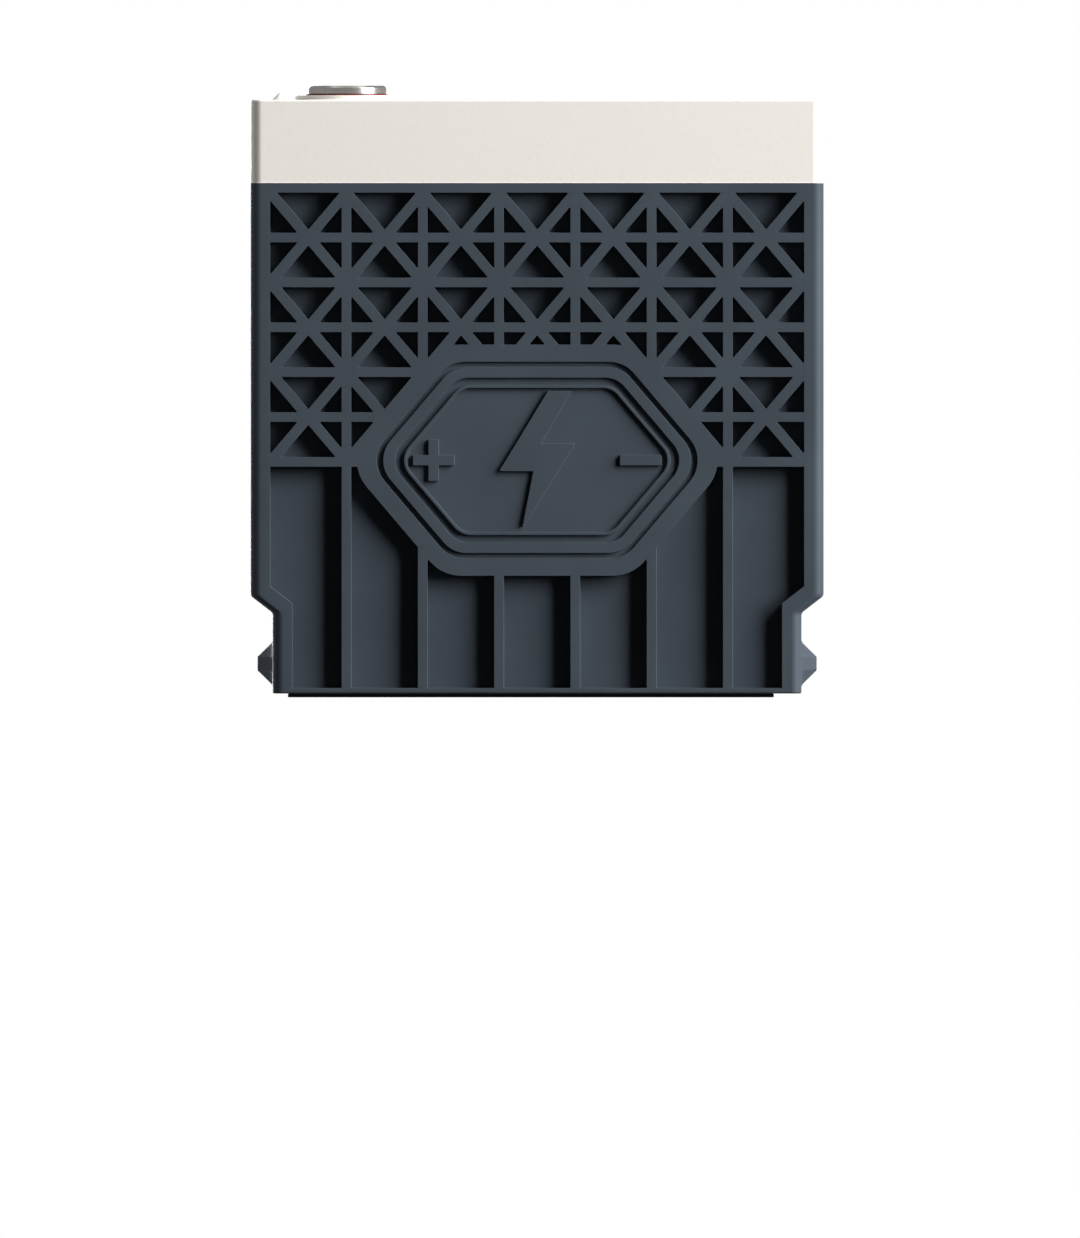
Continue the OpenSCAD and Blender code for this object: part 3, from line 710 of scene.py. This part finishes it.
def ledge(skin, turn, root_distance, tip_distance):
    """Rows blend from root to tip: row = (1 - t) root + t tip, then turn over the tip's edge."""
    octagons = [cleaned(loop[::-1]) for loop in wall_outlines("case", turn, root_distance)]
    root = min((loop for loop in octagons if len(loop) == 8), key=lambda loop: abs(area_of(loop)))
    tip_loops = wall_outlines("case", turn, tip_distance)
    tip = cleaned(max(tip_loops, key=lambda loop: abs(area_of(loop))))
    root, tip = from_top_right(root), from_top_right(tip)
    root_row = resampled(root, LEDGE_FOOT, 0)
    tip_row = resampled(tip, LEDGE_CORNER, 0)
    tip_end = resampled(tip, LEDGE_CORNER - LEDGE_EDGE, LEDGE_EDGE)
    rise = tip_distance - root_distance
    rows, outs = [resampled(root, LEDGE_FOOT, -LEDGE_FOOT)], [0]
    for t in np.linspace(LEDGE_FOOT / rise, 1 - LEDGE_EDGE / rise, LEDGE_ROWS):
        rows.append((1 - t) * root_row + t * tip_row)
        outs.append(t * rise)
    widest = rows[-1]
    b = quarter()[1:]
    for share, sink in zip(1 - np.cos(b), LEDGE_EDGE * np.sin(b)):
        rows.append((1 - share) * widest + share * tip_end)
        outs.append(rise - LEDGE_EDGE + sink)
    rows, outs = np.array(rows), np.array(outs)

    def place(uv, out):
        """From (u, v) on the side wall to (x, y, z), a distance out from it."""
        return turned(np.stack([uv[..., 0], -root_distance - out, uv[..., 1]], -1), turn)

    skin.band(place(rows, np.broadcast_to(outs[:, None], rows.shape[:2])))
    skin.plate([rows[-1]], lambda uv: place(uv, np.full(len(uv), outs[-1])))
    return rows[0]


# %% [markdown]
# ## The case: put together
#
# One description of a face serves all four: it is made facing forwards and then turned by 0, 90,
# 180 or 270 degrees. The front and back faces run down to the base, and the side faces stop above
# the groove. The ledges stand on the narrow base below it.

# %% Build the case
INSIDE_FLOOR = 1 * MM


def kept_triangles(skin, name, wanted):
    """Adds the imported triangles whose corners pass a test, where nobody sees them."""
    corners, triangles = merged(name)
    chosen = triangles[wanted(corners[triangles])]
    skin.add(corners, chosen)
    print(f"{name}: kept {len(chosen)} hidden triangles")


def build_case():
    """Four corner columns, four faces, two ledges, the underside, the rim and the cells' insides,
    all in one skin."""
    skin = Skin()
    half_w, half_d = case_high[0], case_high[1]
    for corner in range(4):
        skin.band(case_rings[:, corner], closed=False)
    for face in range(4):
        turn = 90 * face
        sides = np.stack([case_rings[:, face - 1, -1], case_rings[:, face, 0]], 1)
        for low, high in ((0, FACE_LOW), (FACE_TOP, len(levels) - 1)):
            skin.band(sides[low:high + 1], closed=False)
        if face % 2 == 0:
            border_line = face_border(case_rings, face, FACE_LOW, FACE_TOP)
            sunk_face(skin, "case", turn, half_d, border_line, recess_outlines("case", turn, half_d))
        else:
            skin.band(sides[GROOVE_LOW:GROOVE_TOP + 1], closed=False)
            border_line = face_border(case_rings, face, GROOVE_TOP, FACE_TOP)
            sunk_face(skin, "case", turn, half_w, border_line, recess_outlines("case", turn, half_w))
            root = ledge(skin, turn, base_half, base_half + LEDGE_RISE)
            border_line = face_border(case_rings, face, FACE_LOW, GROOVE_LOW)

            def place(uv):
                """From (u, v) on the base's side wall to (x, y, z)."""
                return turned(np.stack([uv[:, 0], np.full(len(uv), -base_half), uv[:, 1]], -1), turn)

            skin.plate([border_line, root], place)
    bottom = case_rings[0].reshape(-1, 3)[:, :2]
    underside = lambda xy: np.column_stack([xy, np.full(len(xy), case_rings[0, 0, 0, 2])])
    skin.plate([bottom], underside, inside_out=True)
    top = case_rings[-1].reshape(-1, 3)
    rim_loops = level_outlines("case", case_high[2])
    cells = sorted(rim_loops, key=lambda loop: abs(area_of(loop)))[:-1]
    skin.plate([top[:, :2]] + cells, lambda xy: np.column_stack([xy, np.full(len(xy), case_high[2])]))
    inner = np.abs(np.vstack(cells)).max(axis=0) + 2 * TOUCH

    def in_cells(corner_points):
        """The triangles inside the cell spaces, between the underside and the rim."""
        within = (np.abs(corner_points[..., :2]) < inner).all(axis=(1, 2))
        above_underside = corner_points[..., 2].min(axis=1) > case_low[2] + INSIDE_FLOOR
        not_rim = corner_points[..., 2].min(axis=1) < case_high[2] - 2 * TOUCH
        return within & above_underside & not_rim

    kept_triangles(skin, "case", in_cells)
    return skin.finish("ribbed_case", case_plastic, "case_plastic")


case_piece = build_case()
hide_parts("case")

# %% [markdown]
# ## The lid
#
# The lid is moulded on its own and then welded to the case by melting both rims on a hot plate.
# Its skin is again a stack of rounded rectangles, and its foot flares out by less than a tenth of
# a millimetre, where the weld has pressed it. The deck on top has round collars that hold the
# terminals, a raised panel with sloping sides that carries the polarity marks, and a long rebate
# for the vent cover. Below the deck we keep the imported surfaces, which nobody sees.

# %% Parts of the lid
LID_EDGE = 0.6 * MM
LID_FLARE = np.array([(0, 0), (0.1, 0.005), (0.28, 0.07), (0.4, 0.09)]) * MM
LID_R = 3.2 * MM
COLLAR_MIDDLE = 10 * MM
BORE_REACH = 7.1 * MM
PANEL_CORNER_R = 0.6 * MM
SIGN = dict(lip=0.12 * MM, slope=0.04 * MM, fillet=0.15 * MM)
SIGN_CORNER_R = 0.3 * MM
CIRCLE_STEPS = 96

lid_corners = merged("lid")[0]
lid_heights = np.unique(np.round(lid_corners[:, 2] / MM, 2)) * MM
seam_z = float(case_high[2])
deck_z = float(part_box("vent_strip")[1][2])
panel_z = float(lid_high[2])
strip_z = float(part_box("vent_strip")[0][2])
collar_z = float(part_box("positive_ring")[0][2])
terminal_at = {
    side: (np.array(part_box(f"{side}_terminal")[0]) + np.array(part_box(f"{side}_terminal")[1]))[:2] / 2
    for side in ("positive", "negative")
}
lid_levels = {"seam": seam_z, "deck": deck_z, "panel": panel_z, "collar": collar_z}
print("heights in mm:", {level: round(z / MM, 2) for level, z in lid_levels.items()})


def circle(centre, r):
    """Points on a circle, anticlockwise: centre + r (cos a, sin a)."""
    a = np.arange(CIRCLE_STEPS) * 2 * math.pi / CIRCLE_STEPS
    return centre + r * np.stack([np.cos(a), np.sin(a)], -1)


def lifted(points, z):
    """Flat (x, y) points at one height, or rows of them at one height each."""
    z = np.reshape(z, np.shape(z) + (1,) * (points.ndim - np.ndim(z)))
    return np.concatenate([points, np.broadcast_to(z, points.shape[:-1] + (1,))], -1)


def turned_band(skin, centre, profile):
    """A surface turned on a lathe: a circle for each (radius, height) of the profile, which
    runs upwards on the outside of the piece and downwards in a bore."""
    r, z = np.array(profile).T
    rows = lifted(centre + r[:, None, None] * (circle(centre, 1) - centre), z)
    skin.band(rows)
    return rows


def level_plate(skin, loops, z, inside_out=False):
    """A flat area at a height."""
    skin.plate(loops, lambda xy: lifted(xy, z), inside_out)


def around(loops, point):
    """The smallest outline that has a point inside it."""
    holding = [loop for loop in loops if inside(np.array([point]), [loop])[0]]
    return min(holding, key=lambda loop: abs(area_of(loop)))


# %% Deck, collars and panel
def collar(skin, centre, bore_loop):
    """The ring that stands round a terminal: its foot is hollowed by a quarter circle, and its rim
    rounded by another. Returns its outline on the deck."""
    top_middle = centre + [COLLAR_MIDDLE, 0]
    r = around(level_outlines("lid", collar_z), top_middle)[:, 0].max() - centre[0]
    fillet, edge = 0.35 * MM, 0.3 * MM
    b = quarter()
    foot = [(r + fillet * (1 - math.sin(t)), deck_z + fillet * (1 - math.cos(t))) for t in b]
    rim = [(r - edge * (1 - math.cos(t)), collar_z - edge * (1 - math.sin(t))) for t in b]
    rows = turned_band(skin, centre, foot + rim)
    level_plate(skin, [rows[-1][:, :2], bore_loop], collar_z)
    return rows[0][:, :2]


def panel(skin):
    """The raised panel: sides at 45 degrees, and a plus and a minus sunk into its top. The bends
    at the top and the foot are eighths of a circle, which begin r tan(22.5 degrees) from where
    the flat surfaces would meet. Returns its outline on the deck."""
    top_loops = level_outlines("lid", panel_z)
    top = cleaned(max(top_loops, key=lambda loop: abs(area_of(loop))))
    height = panel_z - deck_z
    foot, edge = 0.3 * MM, 0.3 * MM
    foot_reach, edge_reach = foot * math.tan(math.pi / 8), edge * math.tan(math.pi / 8)
    b = np.linspace(0, math.pi / 4, 4)
    low = [(height + foot_reach - foot * math.sin(t), foot * (1 - math.cos(t))) for t in b]
    high = [(edge * math.sin(t) - edge_reach, height - edge * (1 - math.cos(t))) for t in b[::-1]]
    grown, rise = zip(*(low + high))
    rows = rounded_rows(top, -np.array(grown), PANEL_CORNER_R)
    skin.band(lifted(rows, deck_z + np.array(rise)))
    signs = [cleaned(loop[::-1]) for loop in top_loops if area_of(loop) < 0]
    floor_z = max(z for z in lid_heights if deck_z + LEVEL_GAP < z < panel_z - LEVEL_GAP)
    inset, down = recess_profile(panel_z - floor_z, **SIGN)
    lips = []
    for sign in signs:
        sunk = rounded_rows(sign, inset, SIGN_CORNER_R)
        skin.band(lifted(sunk, panel_z - down))
        level_plate(skin, [sunk[-1]], floor_z)
        lips.append(sunk[0])
    level_plate(skin, [rows[-1]] + lips, panel_z)
    return rows[0]


# %% Build the lid
def build_lid():
    """The outer wall, both collars, the panel, the rebate's lip and the deck between them, and
    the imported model's own surfaces below the deck and in the bores."""
    skin = Skin()
    half_w, half_d = lid_high[0], lid_high[1]
    b = quarter()
    rows = [(seam_z + rise, inset) for rise, inset in LID_FLARE]
    wall_inset = LID_FLARE[-1, 1]
    rows += [(deck_z - LID_EDGE * (1 - math.sin(t)), wall_inset + LID_EDGE * (1 - math.cos(t))) for t in b]
    rings = rings_at([(z, half_w - inset, half_d - inset, LID_R - inset) for z, inset in rows])
    wall = rings.reshape(len(rows), -1, 3)
    skin.band(wall)
    bores = {side: around(level_outlines("lid", collar_z), at) for side, at in terminal_at.items()}
    holes = [collar(skin, at, bores[side]) for side, at in terminal_at.items()]
    holes.append(panel(skin))
    rebate = around(level_outlines("lid", deck_z), (0, 0))
    lip = 0.25 * MM
    outline = rebate if area_of(rebate) > 0 else rebate[::-1]
    lip_rows = rounded_rows(outline, -lip * np.append(1 - np.sin(b), 0), 0, 0)
    skin.band(lifted(lip_rows, np.append(deck_z - lip * (1 - np.cos(b)), strip_z)))
    holes.append(lip_rows[0])
    level_plate(skin, [wall[-1][:, :2]] + holes, deck_z)
    foot_loops = level_outlines("lid", seam_z, facing_up=False)
    inner = sorted(foot_loops, key=lambda loop: abs(area_of(loop)))[:-1]
    level_plate(skin, [wall[0][:, :2]] + inner, seam_z, inside_out=True)

    def hidden(corner_points):
        """The triangles under the vent cover's seat, and those in the terminals' bores."""
        highest = corner_points[..., 2].max(axis=1)
        under_deck = (highest < strip_z + TOUCH) & (highest >= seam_z + TOUCH)
        in_bore = np.zeros(len(corner_points), bool)
        for at in terminal_at.values():
            from_axis = np.linalg.norm(corner_points[..., :2] - at, axis=-1)
            in_bore |= (from_axis < BORE_REACH).all(axis=1)
        return under_deck | in_bore

    kept_triangles(skin, "lid", hidden)
    return skin.finish("welded_lid", lid_plastic, "lid_plastic")


lid_piece = build_lid()
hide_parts("lid")

# %% [markdown]
# ## Terminals and polarity rings
#
# A terminal is turned from brass and plated: a round pad with a bevelled rim, on a shank that is
# moulded into the lid. A screw goes into its middle, so the bore has a real thread. A Screw
# modifier could wind a groove, but its ends would be open. So the thread is a lathe surface
# whose radius also depends on the angle, which makes the groove climb:
# r = core + depth * groove(z / pitch - angle / full turn). A red and a black plastic ring lie
# under the pads and show which is which.

# %% Plated metal and glossy plastic
def plated_metal(name, centre):
    """Tin plate with the fine rings that a lathe tool leaves, and a slightly cloudy gloss."""
    finish = Finish(name, 0.22, metallic=1.0)
    local = finish.mapped(location=(-centre[0], -centre[1], 0))
    rings = finish.node("ShaderNodeTexWave", wave_type="RINGS", rings_direction="Z")
    rings.inputs["Scale"].default_value = 900.0
    rings.inputs["Distortion"].default_value = 0.2
    finish.link(local, rings.inputs["Vector"])
    cloud = finish.noise(420, 4)
    finish.colour(cloud, [(0.3, srgb(176, 172, 168)), (0.7, srgb(190, 186, 182))])
    finish.gloss(finish.noise(700, 3), 0.22, 0.27)
    finish.relief([(rings.outputs["Fac"], 0.03), (finish.noise(2600, 2), 0.008)], 0.02 * MM)
    return finish.material


def glossy_plastic(name, dark, light):
    """Moulded plastic with a soft gloss, a faint mottle and small scuffs."""
    finish = Finish(name, 0.32)
    finish.colour(finish.noise(800, 3), [(0.3, dark), (0.7, light)])
    finish.gloss(finish.noise(1500, 4, 0.7), 0.26, 0.42)
    finish.relief([(finish.noise(2400, 2), 0.1)], 0.04 * MM)
    return finish.material


red_plastic = glossy_plastic("red_ring_plastic", srgb(88, 16, 15), srgb(98, 20, 18))
black_plastic = glossy_plastic("black_ring_plastic", srgb(22, 22, 24), srgb(30, 30, 33))


# %% Turn the terminals and rings
THREAD_PITCH = 1.0 * MM
THREAD_DEPTH = 0.55 * MM
THREAD_FLAT = 1.25
THREAD_FLANK = 2.9
ROWS_PER_TURN = 12
COUNTERSINK = 0.8 * MM
PAD_BEVEL = 0.6 * MM


def thread_rows(centre, core_r, mouth_r, top_z, low_z):
    """Rows of a threaded bore from the mouth down. The groove is THREAD_FLAT - THREAD_FLANK |p|,
    kept between 0 and 1, where p is the distance in turns from its middle. It fades out at both
    ends, and a countersink at 45 degrees opens the mouth."""
    count = int(round((top_z - low_z) / THREAD_PITCH)) * ROWS_PER_TURN
    z = np.linspace(top_z, low_z, count + 1)
    angle = np.arange(CIRCLE_STEPS) * 2 * math.pi / CIRCLE_STEPS
    phase = (z[:, None] / THREAD_PITCH - angle / (2 * math.pi)) % 1
    groove = np.clip(THREAD_FLAT - THREAD_FLANK * np.abs(phase - 0.5), 0, 1)
    fade = np.clip(np.minimum(top_z - z, z - low_z) / THREAD_PITCH, 0, 1)
    sink = mouth_r - (top_z - z)
    r = np.maximum(core_r + THREAD_DEPTH * groove * fade[:, None], sink[:, None])
    return lifted(centre + r[..., None] * np.stack([np.cos(angle), np.sin(angle)], -1), z)


def build_terminal(side, material):
    """One turned piece: a shank, a pad with a bevelled rim, and a threaded blind bore with the
    cone that a drill leaves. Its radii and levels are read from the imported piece's corners."""
    low, high = map(np.array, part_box(f"{side}_terminal"))
    centre, top_z = terminal_at[side], high[2]
    pad_r = (high[0] - low[0]) / 2
    corners = merged(f"{side}_terminal")[0]
    radius = np.linalg.norm(corners[:, :2] - centre, axis=1)
    shank_r = radius[corners[:, 2] < low[2] + TOUCH].max()
    pad_z = corners[radius > pad_r - TOUCH, 2].min()
    core_r = radius[corners[:, 2] > top_z - TOUCH].min()
    mouth_r = core_r + COUNTERSINK
    bore_z = corners[np.abs(radius - core_r) < TOUCH, 2].min()
    tip_z = corners[(radius < TOUCH) & (corners[:, 2] > low[2] + LEVEL_GAP), 2].min()
    edge = 0.12 * MM
    face_r = pad_r - PAD_BEVEL - edge
    profile = [(0, low[2]), (shank_r - edge, low[2]), (shank_r, low[2] + edge), (shank_r, pad_z)]
    profile += [(pad_r - edge, pad_z), (pad_r, pad_z + edge), (pad_r, top_z - PAD_BEVEL - edge)]
    profile += [(pad_r - edge / 3, top_z - PAD_BEVEL), (pad_r - PAD_BEVEL, top_z - edge / 3)]
    profile += [(face_r, top_z)]
    skin = Skin()
    turned_band(skin, centre, profile)
    turned_band(skin, centre, [(face_r, top_z), (mouth_r, top_z)])
    skin.band(thread_rows(centre, core_r, mouth_r, top_z, bore_z))
    turned_band(skin, centre, [(core_r, bore_z), (0, tip_z)])
    piece = skin.finish(f"{side}_turned_terminal", material, "plated_terminal", 25)
    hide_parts(f"{side}_terminal")


def build_ring(side, material, slot):
    """A flat ring with blunted outer edges, turned as one closed profile."""
    low, high = map(np.array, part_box(f"{side}_ring"))
    corners = merged(f"{side}_ring")[0]
    outer = (high[0] - low[0]) / 2
    inner = np.linalg.norm(corners[:, :2] - terminal_at[side], axis=1).min()
    edge = 0.1 * MM
    profile = [(inner, low[2]), (outer - edge, low[2]), (outer, low[2] + edge), (outer, high[2] - edge)]
    profile += [(outer - edge, high[2]), (inner, high[2]), (inner, low[2])]
    skin = Skin()
    turned_band(skin, terminal_at[side], profile)
    piece = skin.finish(f"{side}_polarity_ring", material, slot, 50)
    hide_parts(f"{side}_ring")


for side in ("positive", "negative"):
    build_terminal(side, plated_metal(f"{side}_plated_metal", terminal_at[side]))
build_ring("positive", red_plastic, "red_plastic")
build_ring("negative", black_plastic, "black_plastic")

# %% [markdown]
# ## Base pad and vent cover
#
# The pad is a sheet of rubber cut with rounded corners; its edges are only slightly rounded. The
# vent cover is a strip of the lid's own plastic that is pressed into its rebate. Seven weep holes
# in its middle let gas out through the porous disc below. Both could be cubes with a Bevel
# modifier, but the weep holes need outlines anyway, so both use the functions that we have.

# %% Rubber
def matt_rubber(name):
    """Black, matt, with talc-like grey bloom and a fine pebble grain."""
    finish = Finish(name, 0.75, specular=0.3)
    finish.colour(finish.noise(260, 5, 0.65), [(0.35, srgb(14, 14, 15)), (0.75, srgb(27, 27, 28))])
    finish.gloss(finish.noise(900, 3), 0.66, 0.85)
    finish.relief([(finish.noise(3000, 3), 0.25)], 0.06 * MM)
    return finish.material


rubber = matt_rubber("matt_rubber")


# %% Build the base pad and the vent cover
SEAT_REACH = 9 * MM


def build_base_pad():
    """A sheet with its edges rounded by edge (1 - sin a) below and edge (1 - cos a) above."""
    low, high = map(np.array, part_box("base_pad"))
    outline = np.array([low[:2], [high[0], low[1]], high[:2], [low[0], high[1]]])
    edge, corner = 0.25 * MM, 2 * MM
    b = quarter()
    insets = edge * np.concatenate([1 - np.sin(b), 1 - np.cos(b)])
    heights = np.concatenate([low[2] + edge * (1 - np.cos(b)), high[2] - edge * (1 - np.sin(b))])
    rows = rounded_rows(outline, insets, corner)
    skin = Skin()
    skin.band(lifted(rows, heights))
    level_plate(skin, [rows[0]], low[2], inside_out=True)
    level_plate(skin, [rows[-1]], high[2])
    piece = skin.finish("rubber_base_pad", rubber, "black_rubber")
    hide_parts("base_pad")


def build_vent_strip():
    """A strip with a rounded rim, a rounded lip round each weep hole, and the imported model's own
    seat for the porous disc underneath."""
    low, high = map(np.array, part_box("vent_strip"))
    outline = np.array([low[:2], [high[0], low[1]], high[:2], [low[0], high[1]]])
    edge, corner, lip = 0.3 * MM, 0.5 * MM, 0.12 * MM
    heights = np.unique(np.round(merged("vent_strip")[0][:, 2] / MM, 2)) * MM
    seat_z = heights[1]
    b = quarter()
    rows = rounded_rows(outline, np.append(0, edge * (1 - np.cos(b))), corner)
    skin = Skin()
    skin.band(lifted(rows, np.append(low[2], high[2] - edge * (1 - np.sin(b)))))
    holes = [loop for loop in level_outlines("vent_strip", high[2]) if area_of(loop) < 0]
    mouths = []
    for hole in holes:
        hole = hole[::-1]
        centre = (hole.min(axis=0) + hole.max(axis=0)) / 2
        grow = 1 + np.append(lip * (1 - np.sin(b)), 0) / np.linalg.norm(hole[0] - centre)
        walls = centre + grow[:, None, None] * (hole - centre)
        skin.band(lifted(walls, np.append(high[2] - lip * (1 - np.cos(b)), seat_z)))
        mouths.append(walls[0])
    level_plate(skin, [rows[-1]] + mouths, high[2])
    seat = around(level_outlines("vent_strip", low[2], facing_up=False), (0, 0))
    level_plate(skin, [rows[0], seat], low[2], inside_out=True)

    def hidden(corner_points):
        """The triangles of the disc's seat: near the middle, under the top and over the bottom."""
        highest = corner_points[..., 2].max(axis=1)
        between = (highest < high[2] - 2 * LEVEL_GAP) & (highest > low[2] + 2 * LEVEL_GAP)
        return between & (np.abs(corner_points[..., :2]).max(axis=(1, 2)) < SEAT_REACH)

    kept_triangles(skin, "vent_strip", hidden)
    piece = skin.finish("vent_cover", lid_plastic, "lid_plastic")
    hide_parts("vent_strip")


build_base_pad()
build_vent_strip()

# %% [markdown]
# ## The cells inside
#
# Nobody sees the cells unless the battery is cut open, so their shapes stay as imported. Each piece
# still gets its own finish: lead castings dull and blotchy, pasted plates with the lattice of
# their grid showing through, glass mats felted from fine fibres, and a porous disc made of fused
# grains.

# %% Finishes inside the cells
def dull_cast_lead():
    """Grey metal with a soft skin of oxide, shrink marks and a few brighter rubbed spots."""
    finish = Finish("dull_cast_lead", 0.5, metallic=0.85)
    finish.colour(finish.noise(300, 5, 0.6), [(0.3, srgb(98, 101, 106)), (0.7, srgb(138, 141, 146))])
    finish.gloss(finish.noise(500, 4), 0.42, 0.62)
    finish.relief([(finish.noise(700, 4), 0.3), (finish.noise(4000, 2), 0.1)], 0.1 * MM)
    return finish.material


def pasted_plate(name, dark, light, grid):
    """Paste pressed into a cast grid: the bars show as pale lines every 8 mm and 5 mm."""
    finish = Finish(name, 0.85, specular=0.2)
    bars = []
    for axis, scale in (("X", 39.0), ("Z", 62.0)):
        wave = finish.node("ShaderNodeTexWave", bands_direction=axis, Scale=scale, Distortion=0.15)
        finish.link(finish.coordinates, wave.inputs["Vector"])
        bars.append(finish.ramp(wave.outputs["Fac"], [(0.9, 0.0), (0.97, 1.0)]))
    grain = finish.noise(900, 6, 0.7)
    lattice = finish.math("MAXIMUM", *bars)
    tone = finish.math("ADD", finish.math("MULTIPLY", grain, 0.55), finish.math("MULTIPLY", lattice, 0.4))
    finish.colour(tone, [(0.2, dark), (0.5, light), (0.85, grid)])
    finish.relief([(lattice, 0.4), (grain, 0.5)], 0.15 * MM)
    return finish.material


def felted_glass():
    """White fibre felt: noise stretched along two directions, with a soft fuzzy edge."""
    finish = Finish("felted_glass", 0.95, specular=0.15)
    along = finish.noise(1.0, 6, 0.7, finish.mapped(scale=(300, 900, 4200)))
    across = finish.noise(1.0, 6, 0.7, finish.mapped(scale=(4200, 900, 300)))
    fibres = finish.math("MAXIMUM", along, across)
    finish.colour(fibres, [(0.35, srgb(206, 206, 198)), (0.65, srgb(240, 240, 234))])
    finish.relief([(fibres, 0.5)], 0.1 * MM)
    return finish.material


def fused_grains():
    """Grey porous plastic: round grains fused together, with painted shade making the gaps darker."""
    finish = Finish("fused_grains", 0.8, specular=0.3)
    cells = finish.node("ShaderNodeTexVoronoi", Scale=2600.0)
    finish.link(finish.coordinates, cells.inputs["Vector"])
    # The colour darkens from each grain's middle to its edge: painted shade in the pores between grains.
    finish.colour(cells.outputs["Distance"], [(0.1, srgb(176, 176, 170)), (0.8, srgb(112, 112, 108))])
    finish.relief([(cells.outputs["Distance"], 0.6)], 0.2 * MM)
    return finish.material


lead = dull_cast_lead()
brown_paste = pasted_plate("brown_paste", srgb(58, 32, 24), srgb(84, 50, 38), srgb(120, 104, 96))
grey_paste = pasted_plate("grey_paste", srgb(84, 86, 90), srgb(116, 118, 122), srgb(150, 152, 156))
glass_felt = felted_glass()
porous = fused_grains()

FINISH_OF = {
    "vent_valve": rubber,
    "post_seals": rubber,
    "flame_arrestor": porous,
    "positive_plates": brown_paste,
    "negative_plates": grey_paste,
    "glass_mats": glass_felt,
    "positive_strap": lead,
    "negative_strap": lead,
    "cell_welds": lead,
    "positive_post": lead,
    "negative_post": lead,
}
painted = 0
for name, node in nodes.items():
    for start, material in FINISH_OF.items():
        if name.startswith(start):
            node.material_slots[0].material = material
            painted += 1
print("inner pieces with a finish:", painted, "of", len(nodes))

# %% [markdown]
# ## Floor and light
#
# The battery stands on a plain pale floor, in front of a plain white sheet. One broad softbox
# stands well round to the right and above, so that each rib has a bright right-hand edge and
# shades the pocket beside it. Three weak ones open up those shadows: one overhead, one behind the
# battery, and one on the left, which the metal doesn't mirror. The camera and reflections see
# the sheet, but it lights nothing, so the shadows don't depend on how white it is. The floor
# glows a little, because otherwise the battery's own shadow on it would be too dark.

# %% Lights and backdrop
AIM = Vector((0, 0, 90 * MM))


def softbox(name, azimuth, elevation, distance, width, height, power, mirrored=True):
    """An area light that faces the middle of the battery. The azimuth is measured from the
    camera's side towards the right, so the light's direction is (sin az cos el, -cos az cos el,
    sin el)."""
    az, el = math.radians(azimuth), math.radians(elevation)
    toward = Vector((math.sin(az) * math.cos(el), -math.cos(az) * math.cos(el), math.sin(el)))
    data = bpy.data.lights.new(name, "AREA")
    data.shape = "RECTANGLE"
    data.size, data.size_y, data.energy = width, height, power
    light = bpy.data.objects.new(name, data)
    light.location = AIM + toward * distance
    light.rotation_euler = toward.to_track_quat("Z", "Y").to_euler()
    light.visible_glossy = mirrored
    bpy.context.scene.collection.objects.link(light)


def white_sheet(seen, mirrored, given):
    """A white backdrop with three strengths, one for each kind of ray: as the camera sees it, as
    reflections see it, and as light."""
    world = bpy.data.worlds.new("white_sheet")
    world.use_nodes = True
    tree = world.node_tree
    path = tree.nodes.new("ShaderNodeLightPath")
    shade = tree.nodes["Background"]
    shade.inputs["Strength"].default_value = given
    shown = shade.outputs["Background"]
    for ray, strength in (("Is Glossy Ray", mirrored), ("Is Camera Ray", seen)):
        sheet, mix = tree.nodes.new("ShaderNodeBackground"), tree.nodes.new("ShaderNodeMixShader")
        sheet.inputs["Color"].default_value = (1, 1, 1, 1)
        sheet.inputs["Strength"].default_value = strength
        tree.links.new(path.outputs[ray], mix.inputs["Fac"])
        tree.links.new(shown, mix.inputs[1])
        tree.links.new(sheet.outputs["Background"], mix.inputs[2])
        shown = mix.outputs["Shader"]
    shade.inputs["Color"].default_value = (1, 1, 1, 1)
    tree.links.new(shown, tree.nodes["World Output"].inputs["Surface"])
    bpy.context.scene.world = world


bpy.context.scene.view_settings.view_transform = "Standard"
white_sheet(seen=1.0, mirrored=0.38, given=0.0)
softbox("key", azimuth=66, elevation=24.5, distance=3.2, width=1.8, height=2.6, power=322)
softbox("overhead", azimuth=180, elevation=79, distance=1.3, width=1.0, height=0.4, power=2)
softbox("rear", azimuth=196, elevation=4, distance=1.6, width=0.8, height=0.8, power=20)
softbox("left", azimuth=-96, elevation=4, distance=3.2, width=0.8, height=1.6, power=48, mirrored=False)

# %% Floor
FLOOR_SIDE = 1.6
FLOOR_GLOW = 0.72

floor_mesh = bpy.data.meshes.new("floor")
half = FLOOR_SIDE / 2
floor_corners = [(-half, -half, 0), (half, -half, 0), (half, half, 0), (-half, half, 0)]
floor_mesh.from_pydata(floor_corners, [], [(0, 1, 2, 3)])
pale = Finish("pale_floor", 0.8)
pale.colour(pale.noise(3, 2), [(0.3, srgb(226, 226, 226)), (0.7, srgb(230, 230, 230))])
pale.shader.inputs["Emission Color"].default_value = (1, 1, 1, 1)
pale.shader.inputs["Emission Strength"].default_value = FLOOR_GLOW
floor_mesh.materials.append(pale.material)
floor = bpy.data.objects.new("floor", floor_mesh)
bpy.context.scene.collection.objects.link(floor)
floor.visible_diffuse = False
floor.visible_glossy = False
